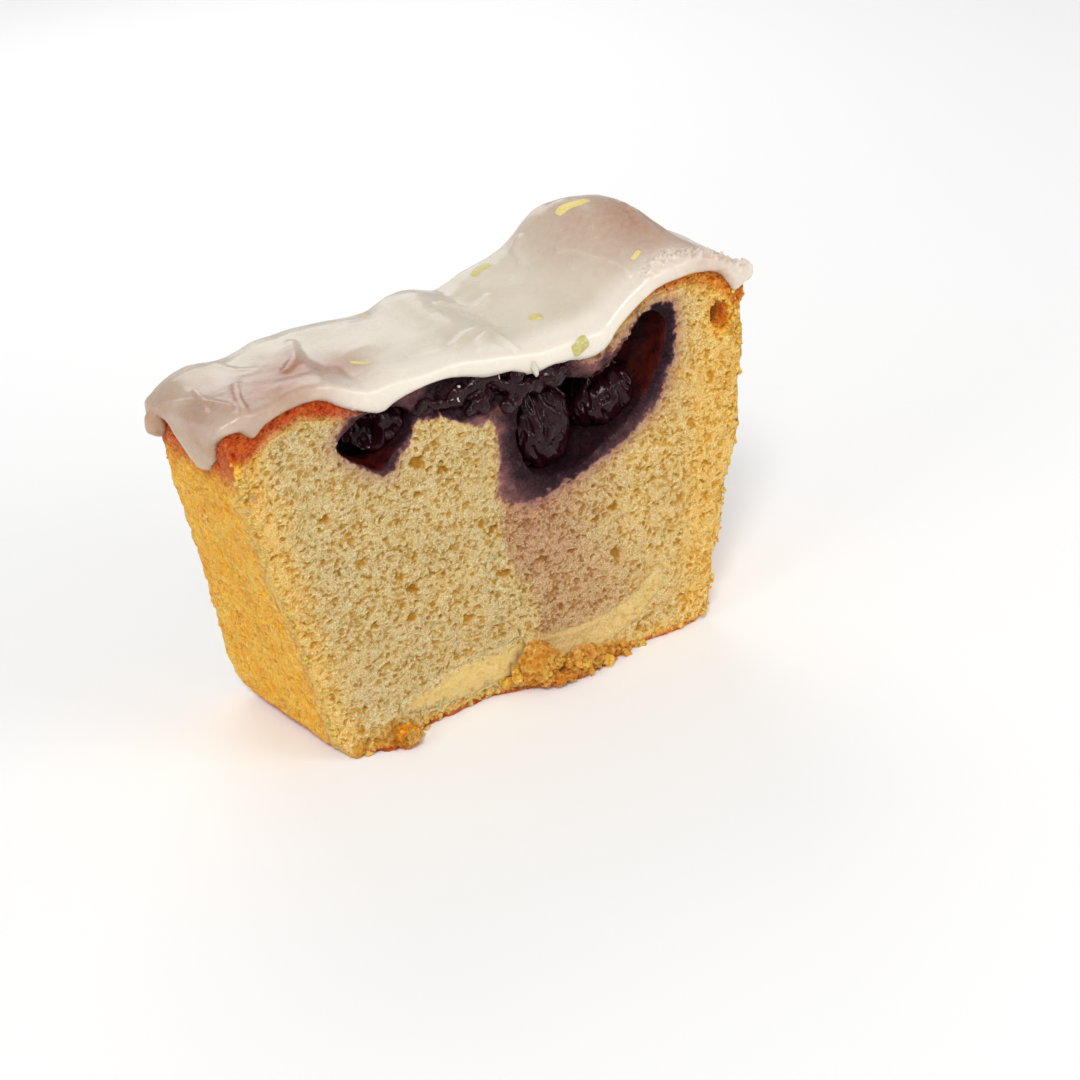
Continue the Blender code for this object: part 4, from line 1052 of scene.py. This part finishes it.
class LOAF_OT_crumbs(bpy.types.Operator):
    """Scatters loose crumbs along the torn edges and round the foot"""

    bl_idname = "loaf.crumbs"
    bl_label = "Make Loose Crumbs"

    def execute(self, context):
        settings = context.scene.loaf_crumb
        random = np.random.default_rng(settings.seed)
        patterns = [self.pattern(index) for index in range(5)]
        trees = [tree_of(bpy.data.objects[name].data) for name in SPONGE_PARTS]
        crumbs = []
        for line, count, smallest, largest, crust, bake in CRUMB_LINES:
            line = np.array(line, float)
            for _ in range(count):
                along = random.random() * (len(line) - 1)
                step = int(along)
                place = line[step] + (along - step) * (line[step + 1] - line[step]) + random.normal(0, 0.8, 3)
                radius = smallest + (largest - smallest) * random.random() ** 2
                found = min((tree.find_nearest(Vector(place * MM)) for tree in trees), key=lambda hit: hit[3])
                pattern = patterns[len(crumbs) % len(patterns)]
                crumbs.append(self.lay(pattern, found[0] / MM, found[1], radius, random, crust, bake))
        for pattern in patterns:
            bpy.data.objects.remove(pattern, do_unlink=True)
        piece = joined(crumbs, "loose_crumbs")
        piece.data.materials.append(shared_material("moist_crumb", crumb_material, settings))
        ride_and_replace(piece, "sponge")
        return {"FINISHED"}

    def pattern(self, index):
        """One uneven crumb of a few dozen faces, 1 mm in radius."""
        piece = primitive("ico_sphere", f"crumb_{index}", subdivisions=2, radius=1 * MM)
        places = points_of(piece)
        random = np.random.default_rng(index)
        places *= random.uniform(0.7, 1.2, (len(places), 1)) * random.uniform(0.7, 1.1, 3)
        move_points(piece, places)
        return piece

    def lay(self, pattern, place, way, radius, random, crust, bake):
        """A copy of a crumb, turned at random and pressed a little into the skin."""
        piece = pattern.copy()
        piece.data = pattern.data.copy()
        bpy.context.scene.collection.objects.link(piece)
        turn = np.linalg.qr(random.standard_normal((3, 3)))[0]
        turn *= np.sign(np.linalg.det(turn))
        places = points_of(piece) @ turn * radius
        places += np.array(place) + np.array(way) * 0.25 * radius
        places[:, 2] = np.maximum(places[:, 2], FLOOR_GAP)
        move_points(piece, places)
        count = len(places)
        keep(piece, "gold", np.full(count, 0.8))
        keep(piece, "crust", np.full(count, crust))
        keep(piece, "bake", np.full(count, np.clip(bake + random.normal(0, 0.15), 0, 1)))
        keep(piece, "stain", np.full(count, 0.0))
        return piece


class LOAF_OT_layer(bpy.types.Operator):
    """Makes the dense lemon layer, which reaches just into the crumb round it"""

    bl_idname = "loaf.layer"
    bl_label = "Make Lemon Layer"

    def execute(self, context):
        settings = context.scene.loaf_layer
        piece = copy_of("lemon_layer", "dense_layer")
        even_skin(piece, settings.square, 2)
        places, ways = points_of(piece), outward(piece)
        places += ways * (LAYER_REACH * (1 - np.abs(ways[:, 1])))[:, None]
        x, _, z = places.T
        near, far = facing_cuts(ways)
        columns = np.round(x).astype(int)
        half = np.zeros(len(x))
        middle = np.zeros(len(x))
        for column in np.unique(columns):
            members = np.abs(columns - column) <= 1
            half[columns == column] = np.ptp(z[members]) / 2
            middle[columns == column] = (z[members].max() + z[members].min()) / 2
        rim = np.abs(z - middle) / np.maximum(half, 0.5)
        rim = np.maximum(rim, eased(2.5, 0.0, np.minimum(x - x.min(), x.max() - x)))
        sink = 0.6 * eased(0.66, 1.0, rim) - 0.12
        places[:, 1] += (near - far) * sink
        move_points(piece, places)
        relief = crumb_relief()
        dry = np.zeros(len(x))
        places, _, blush, soak, hollow = crumb_surface(piece, relief, near, far, dry)
        move_points(piece, places)
        keep(piece, "hollow", hollow)
        keep(piece, "gold", golden_share(x, z, near, far))
        keep(piece, "stain", dry)
        keep(piece, "blush", np.clip(blush, 0, 1))
        keep(piece, "soak", np.clip(soak, 0, 1))
        piece.data.materials.append(shared_material("moist_crumb", crumb_material, context.scene.loaf_crumb))
        ride_and_replace(piece, "lemon_layer", "lemon_layer")
        return {"FINISHED"}


class LOAF_OT_icing(bpy.types.Operator):
    """Makes the set icing with its folds, its lip and its sugary ridge"""

    bl_idname = "loaf.icing"
    bl_label = "Make Icing"

    def execute(self, context):
        settings = context.scene.loaf_icing
        piece = copy_of("icing", "set_icing")
        step = piece.modifiers.new("Fuller", "DISPLACE")
        step.strength = 0.25 * MM
        step.mid_level = 0
        finish_step(piece, step)
        even_skin(piece, settings.square, 12)
        self.bed_down(piece)
        soften(piece, 8)
        roughen(piece, "CLOUDS", 13 * MM, settings.wave, noise_depth=1)
        roughen(piece, "CLOUDS", 4.5 * MM, 0.35 * settings.wave, noise_depth=1)
        self.fold(piece)
        piece.data.materials.append(shared_material("set_icing", icing_material, settings))
        ride_and_replace(piece, "icing", "icing")
        return {"FINISHED"}

    def bed_down(self, piece):
        """Presses the icing's inner side onto the sponge, so that no gap shows."""
        tree = tree_of(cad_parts["sponge"].data)
        places, ways = points_of(piece), outward(piece)
        near = np.zeros(len(places))
        for i, (place, way) in enumerate(zip(places * MM, ways)):
            found, normal, _, _ = tree.find_nearest(Vector(place), 1.6 * MM)
            if found is not None and normal.dot(Vector(way)) < -0.2:
                near[i] = 1
        places += ways * (0.75 * near)[:, None]
        move_points(piece, places)

    def fold(self, piece):
        """Raises the folds and the sugary ridge, and stores the icing's tints and the painted light of its
        lip.
        """
        places, ways = points_of(piece), outward(piece)
        rise = np.zeros(len(places))
        for line, wide, high in FOLDS:
            rise += high * np.exp(-(from_line(line, places) / wide) ** 2)
        x, y, z = places.T
        sugar = np.exp(-(from_line(SUGAR_RIDGE, places) / 1.7) ** 2)
        grains = on_map(soft_noise(0.9, 71), x, z + y) + 0.6 * on_map(soft_noise(0.5, 72), x, z + 0.6 * y)
        rise += sugar * np.clip(0.5 + 0.8 * grains, 0, 2)
        places += ways * rise[:, None]
        move_points(piece, places)
        pink = np.zeros(len(places))
        for middle, radius, strength in PINK_PLACES:
            away = np.linalg.norm(places - np.array(middle, float), axis=1) / radius
            pink = np.maximum(pink, strength * np.exp(-away ** 2))
        keep(piece, "pink", pink + 0.08)
        keep(piece, "sugar", sugar)
        # Painted light: where the lip is made whiter
        keep(piece, "lip", eased(-11, -16, y) * eased(-45, -35, x))
        keep(piece, "thin", 0.7 * eased(-56, -62, x) * eased(80, 76, z))


class LOAF_OT_drips(bpy.types.Operator):
    """Makes the thin drips of icing that hang from the lip"""

    bl_idname = "loaf.drips"
    bl_label = "Make Drips"

    def execute(self, context):
        drips = []
        for index, (line, wide) in enumerate(DRIPS):
            shape = bpy.data.curves.new(f"drip_{index}", "CURVE")
            shape.dimensions = "3D"
            shape.bevel_depth = 0.5 * wide * MM
            shape.bevel_resolution = 5
            shape.resolution_u = 12
            shape.use_fill_caps = True
            spline = shape.splines.new("BEZIER")
            spline.bezier_points.add(len(line) - 1)
            for step, (knot, place) in enumerate(zip(spline.bezier_points, line)):
                knot.co = Vector(place) * MM
                knot.handle_left_type = knot.handle_right_type = "AUTO"
                knot.radius = 1.25 - 0.95 * step / (len(line) - 1)
            piece = bpy.data.objects.new(shape.name, shape)
            context.scene.collection.objects.link(piece)
            drips.append(piece)
        choose(*drips)
        bpy.ops.object.convert(target="MESH")
        bpy.ops.object.join()
        piece = context.view_layer.objects.active
        piece.name = piece.data.name = "icing_drips"
        even_skin(piece, 0.16 * MM, 4)
        roughen(piece, "CLOUDS", 1.0 * MM, 0.25 * MM, noise_depth=1)
        piece.data.materials.append(shared_material("set_icing", icing_material, context.scene.loaf_icing))
        ride_and_replace(piece, "icing")
        return {"FINISHED"}


class LOAF_OT_zest(bpy.types.Operator):
    """Beds strips and flecks of peel in the icing"""

    bl_idname = "loaf.zest"
    bl_label = "Make Zest"

    def execute(self, context):
        settings = context.scene.loaf_icing
        tree = tree_of(bpy.data.objects["set_icing"].data)
        strips = [self.strip(f"zest_{index}", tree, *strip) for index, strip in enumerate(ZEST)]
        piece = joined(strips, "zest_strips")
        piece.data.materials.append(shared_material("lemon_zest", zest_material, settings))
        ride_and_replace(piece, "icing", "icing")
        return {"FINISHED"}

    def strip(self, name, tree, line, wide, green):
        """One strip: a thin grid laid along its line on the icing, and thickened."""
        line = np.array(line, float)
        length = float(np.linalg.norm(line[-1] - line[0]))
        piece = primitive("grid", name, x_subdivisions=14, y_subdivisions=6, size=1)
        steps = np.linspace(0, 1, len(line))
        places = points_of(piece) * MM
        share, across = places[:, 0] + 0.5, places[:, 1] * 2
        spine = np.stack([np.interp(share, steps, line[:, k]) for k in range(3)], axis=1)
        ahead = (line[-1] - line[0]) / length
        up = np.array(tree.find_nearest(Vector(line.mean(0) * MM))[1])
        sideways = np.cross(up, ahead)
        random = np.random.default_rng(int(abs(line[0][0]) * 10))
        taper = wide * (1 - 0.35 * (2 * share - 1) ** 4)
        wobble = 0.18 * wide * np.sin(5 * share + random.uniform(0, 6))
        spine = spine + sideways * (across * taper + wobble)[:, None]
        settled = []
        for k, place in enumerate(spine):
            found, normal, _, _ = tree.find_nearest(Vector(place * MM))
            crown = 0.22 * (1 - abs(across[k]) ** 3) * (1 - abs(2 * share[k] - 1) ** 5)
            settled.append(np.array(found + normal * (crown - 0.08) * MM) / MM)
        move_points(piece, np.array(settled))
        step = piece.modifiers.new("Thick", "SOLIDIFY")
        step.thickness = 0.6 * MM
        step.offset = -1
        finish_step(piece, step)
        count = len(piece.data.vertices)
        keep(piece, "green", np.full(count, max(green, 0.0)))
        keep(piece, "orange", np.full(count, max(-green, 0.0)))
        return piece


class LOAF_OT_berries(bpy.types.Operator):
    """Makes the collapsed berries with their wet, wrinkled skins"""

    bl_idname = "loaf.berries"
    bl_label = "Make Berries"

    def execute(self, context):
        settings = context.scene.loaf_berry
        finish = shared_material("wet_berry", berry_material, settings)
        for seed, node in enumerate(sorted(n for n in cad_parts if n.startswith("berry"))):
            piece = copy_of(node, node.replace("berry_", "wet_berry_"))
            even_skin(piece, settings.square, 5)
            self.wrinkle(piece, settings.wrinkle / MM, seed)
            piece.data.materials.append(finish)
            ride_and_replace(piece, "berry", node)
        return {"FINISHED"}

    def wrinkle(self, piece, height, seed):
        """Sinks the skin into folds that run down the berry."""
        places, ways = points_of(piece), outward(piece)
        middle = (places.max(0) + places.min(0)) / 2
        x, y, z = (places - middle).T
        wander = 0.9 * np.sin(0.55 * z + seed) + 0.5 * np.sin(1.1 * x + 0.7 * z + 2 * seed)
        around = np.arctan2(x, 4 + (y if "far" in piece.name else -y))
        folds = np.sin(15 * around + 2.2 * wander) + 0.5 * np.sin(29 * around - 1.7 * wander + z * 0.5)
        ripples = np.sin(41 * around + 3.1 * wander) * np.clip(0.6 + 0.6 * np.sin(0.8 * z + 2 * seed), 0, 1)
        cross = np.sin(1.3 * z + 2.5 * np.sin(0.6 * x + seed))
        rise = height * (0.5 * folds - 0.45 * np.abs(folds) + 0.25 * cross + 0.16 * ripples)
        front = eased(-0.3, 0.4, -ways[:, 1]) + eased(-0.3, 0.4, ways[:, 1])
        torn = np.zeros(len(places))
        if "near_left" in piece.name:
            places = middle + LEFT_BERRY_SHIFT + (places - middle) * LEFT_BERRY_SHARE
            away = np.linalg.norm((places - LEFT_BERRY_TORN) * (0.62, 0.5, 0.7), axis=1)
            torn = 1 - eased(2.4, 3.5, away + 0.25 * wander)
            places[:, 1] += 1.5 * torn
        places += ways * (rise * (1 - 0.85 * torn) * np.clip(front, 0, 1))[:, None]
        move_points(piece, places)
        keep(piece, "torn", torn)


class LOAF_OT_scraps(bpy.types.Operator):
    """Lays torn scraps of berry on the crumb between the pockets"""

    bl_idname = "loaf.scraps"
    bl_label = "Make Scraps"

    def execute(self, context):
        settings = context.scene.loaf_berry
        random = np.random.default_rng(5)
        scraps = []
        for index, (place, half) in enumerate(SCRAPS):
            piece = primitive("ico_sphere", f"scrap_{index}", subdivisions=3, radius=1 * MM)
            places = points_of(piece) * (1.35 * half, 0.75 * half, 0.9 * half)
            lean = random.uniform(-0.7, 0.7)
            x, z = places[:, 0].copy(), places[:, 2].copy()
            places[:, 0] = x * math.cos(lean) - z * math.sin(lean)
            places[:, 2] = x * math.sin(lean) + z * math.cos(lean)
            move_points(piece, places + np.array(place))
            scraps.append(piece)
        piece = joined(scraps, "berry_scraps")
        roughen(piece, "CLOUDS", 3.0 * MM, 2.2 * MM, noise_depth=0)
        even_skin(piece, 1.4 * settings.square, 4)
        roughen(piece, "CLOUDS", 1.6 * MM, 0.9 * MM, noise_depth=1)
        piece.data.materials.append(shared_material("wet_berry", berry_material, settings))
        ride_and_replace(piece, "berry")
        return {"FINISHED"}


class LOAF_OT_stage(bpy.types.Operator):
    """Sets the floor, the soft lights and the camera"""

    bl_idname = "loaf.stage"
    bl_label = "Set Stage"

    def execute(self, context):
        settings = context.scene.loaf_stage
        floor = primitive("plane", "floor", size=6, location=(0, 0, 0))
        made, _, shader = material("pale_floor")
        shader.inputs["Base Color"].default_value = (*settings.floor, 1)
        shader.inputs["Roughness"].default_value = 0.6
        shader.inputs["Specular IOR Level"].default_value = 0.2
        floor.data.materials.append(made)
        world = bpy.data.worlds.new("surround")
        world.use_nodes = True
        surround = world.node_tree.nodes["Background"]
        surround.inputs["Color"].default_value = (1, 1, 1, 1)
        surround.inputs["Strength"].default_value = settings.sky
        context.scene.world = world
        context.scene.view_settings.view_transform = "Standard"
        context.scene.view_settings.look = "None"
        self.lamp("key", "SUN", (-0.35, -0.55, 0.75), settings.key).angle = settings.spread
        self.lamp("spark", "AREA", (-0.24, -0.40, 0.42), settings.spark).size = 0.014
        self.lamp("side", "AREA", (-0.48, -0.12, 0.26), settings.side).size = 0.25
        self.lamp("fill", "AREA", (0.34, -0.46, 0.30), settings.fill).size = 0.3
        self.lamp("back", "AREA", (0.14, 0.52, 0.40), settings.back).size = 0.4
        self.camera(settings)
        return {"FINISHED"}

    def lamp(self, name, kind, place, power):
        """A soft light that faces the slice."""
        bpy.ops.object.select_all(action="DESELECT")
        turn = (Vector((0, 0, 0.05)) - Vector(place)).to_track_quat("-Z", "Y").to_euler()
        bpy.ops.object.light_add(type=kind, location=place, rotation=turn)
        lamp = bpy.context.view_layer.objects.active
        lamp.name = lamp.data.name = name
        lamp.data.energy = power
        return lamp.data

    def camera(self, settings):
        """The camera, from its place and its three angles."""
        t, e, r = settings.turn, settings.rise, settings.roll
        back = Vector((math.sin(t) * math.cos(e), -math.cos(t) * math.cos(e), math.sin(e)))
        level = Vector((math.cos(t), math.sin(t), 0))
        above = back.cross(level)
        right = level * math.cos(r) + above * math.sin(r)
        up = above * math.cos(r) - level * math.sin(r)
        turn = Matrix((right, up, back)).transposed().to_euler()
        bpy.ops.object.camera_add(location=settings.place, rotation=turn)
        camera = bpy.context.view_layer.objects.active
        camera.name = camera.data.name = "camera"
        camera.data.lens = settings.lens
        camera.data.sensor_width = 36
        camera.data.clip_start = 0.01
        bpy.context.scene.camera = camera


STEPS = ("sponge", "crumbs", "layer", "icing", "drips", "zest", "berries", "scraps", "stage")


class LOAF_PT_slice(bpy.types.Panel):
    """The slice's steps and settings, in the 3D view's sidebar"""

    bl_idname = "LOAF_PT_slice"
    bl_label = "Loaf Slice"
    bl_space_type = "VIEW_3D"
    bl_region_type = "UI"
    bl_category = "Loaf Slice"

    def draw(self, context):
        for step in STEPS:
            self.layout.operator(f"loaf.{step}")
        for name in ("loaf_crumb", "loaf_layer", "loaf_icing", "loaf_berry", "loaf_stage"):
            settings = getattr(context.scene, name)
            box = self.layout.box()
            for field in settings.bl_rna.properties.keys():
                if field not in ("rna_type", "name"):
                    box.prop(settings, field)


SETTINGS = {
    "loaf_crumb": CrumbSettings,
    "loaf_layer": LayerSettings,
    "loaf_icing": IcingSettings,
    "loaf_berry": BerrySettings,
    "loaf_stage": StageSettings,
}
CLASSES = (*SETTINGS.values(), LOAF_OT_sponge, LOAF_OT_crumbs, LOAF_OT_layer, LOAF_OT_icing, LOAF_OT_drips,
           LOAF_OT_zest, LOAF_OT_berries, LOAF_OT_scraps, LOAF_OT_stage, LOAF_PT_slice)


def register():
    for each in CLASSES:
        bpy.utils.register_class(each)
    for name, group in SETTINGS.items():
        setattr(bpy.types.Scene, name, bpy.props.PointerProperty(type=group))


def unregister():
    for name in SETTINGS:
        delattr(bpy.types.Scene, name)
    for each in reversed(CLASSES):
        bpy.utils.unregister_class(each)


def main():
    register()
    for step in STEPS:
        getattr(bpy.ops.loaf, step)()


if __name__ == "__main__":
    main()
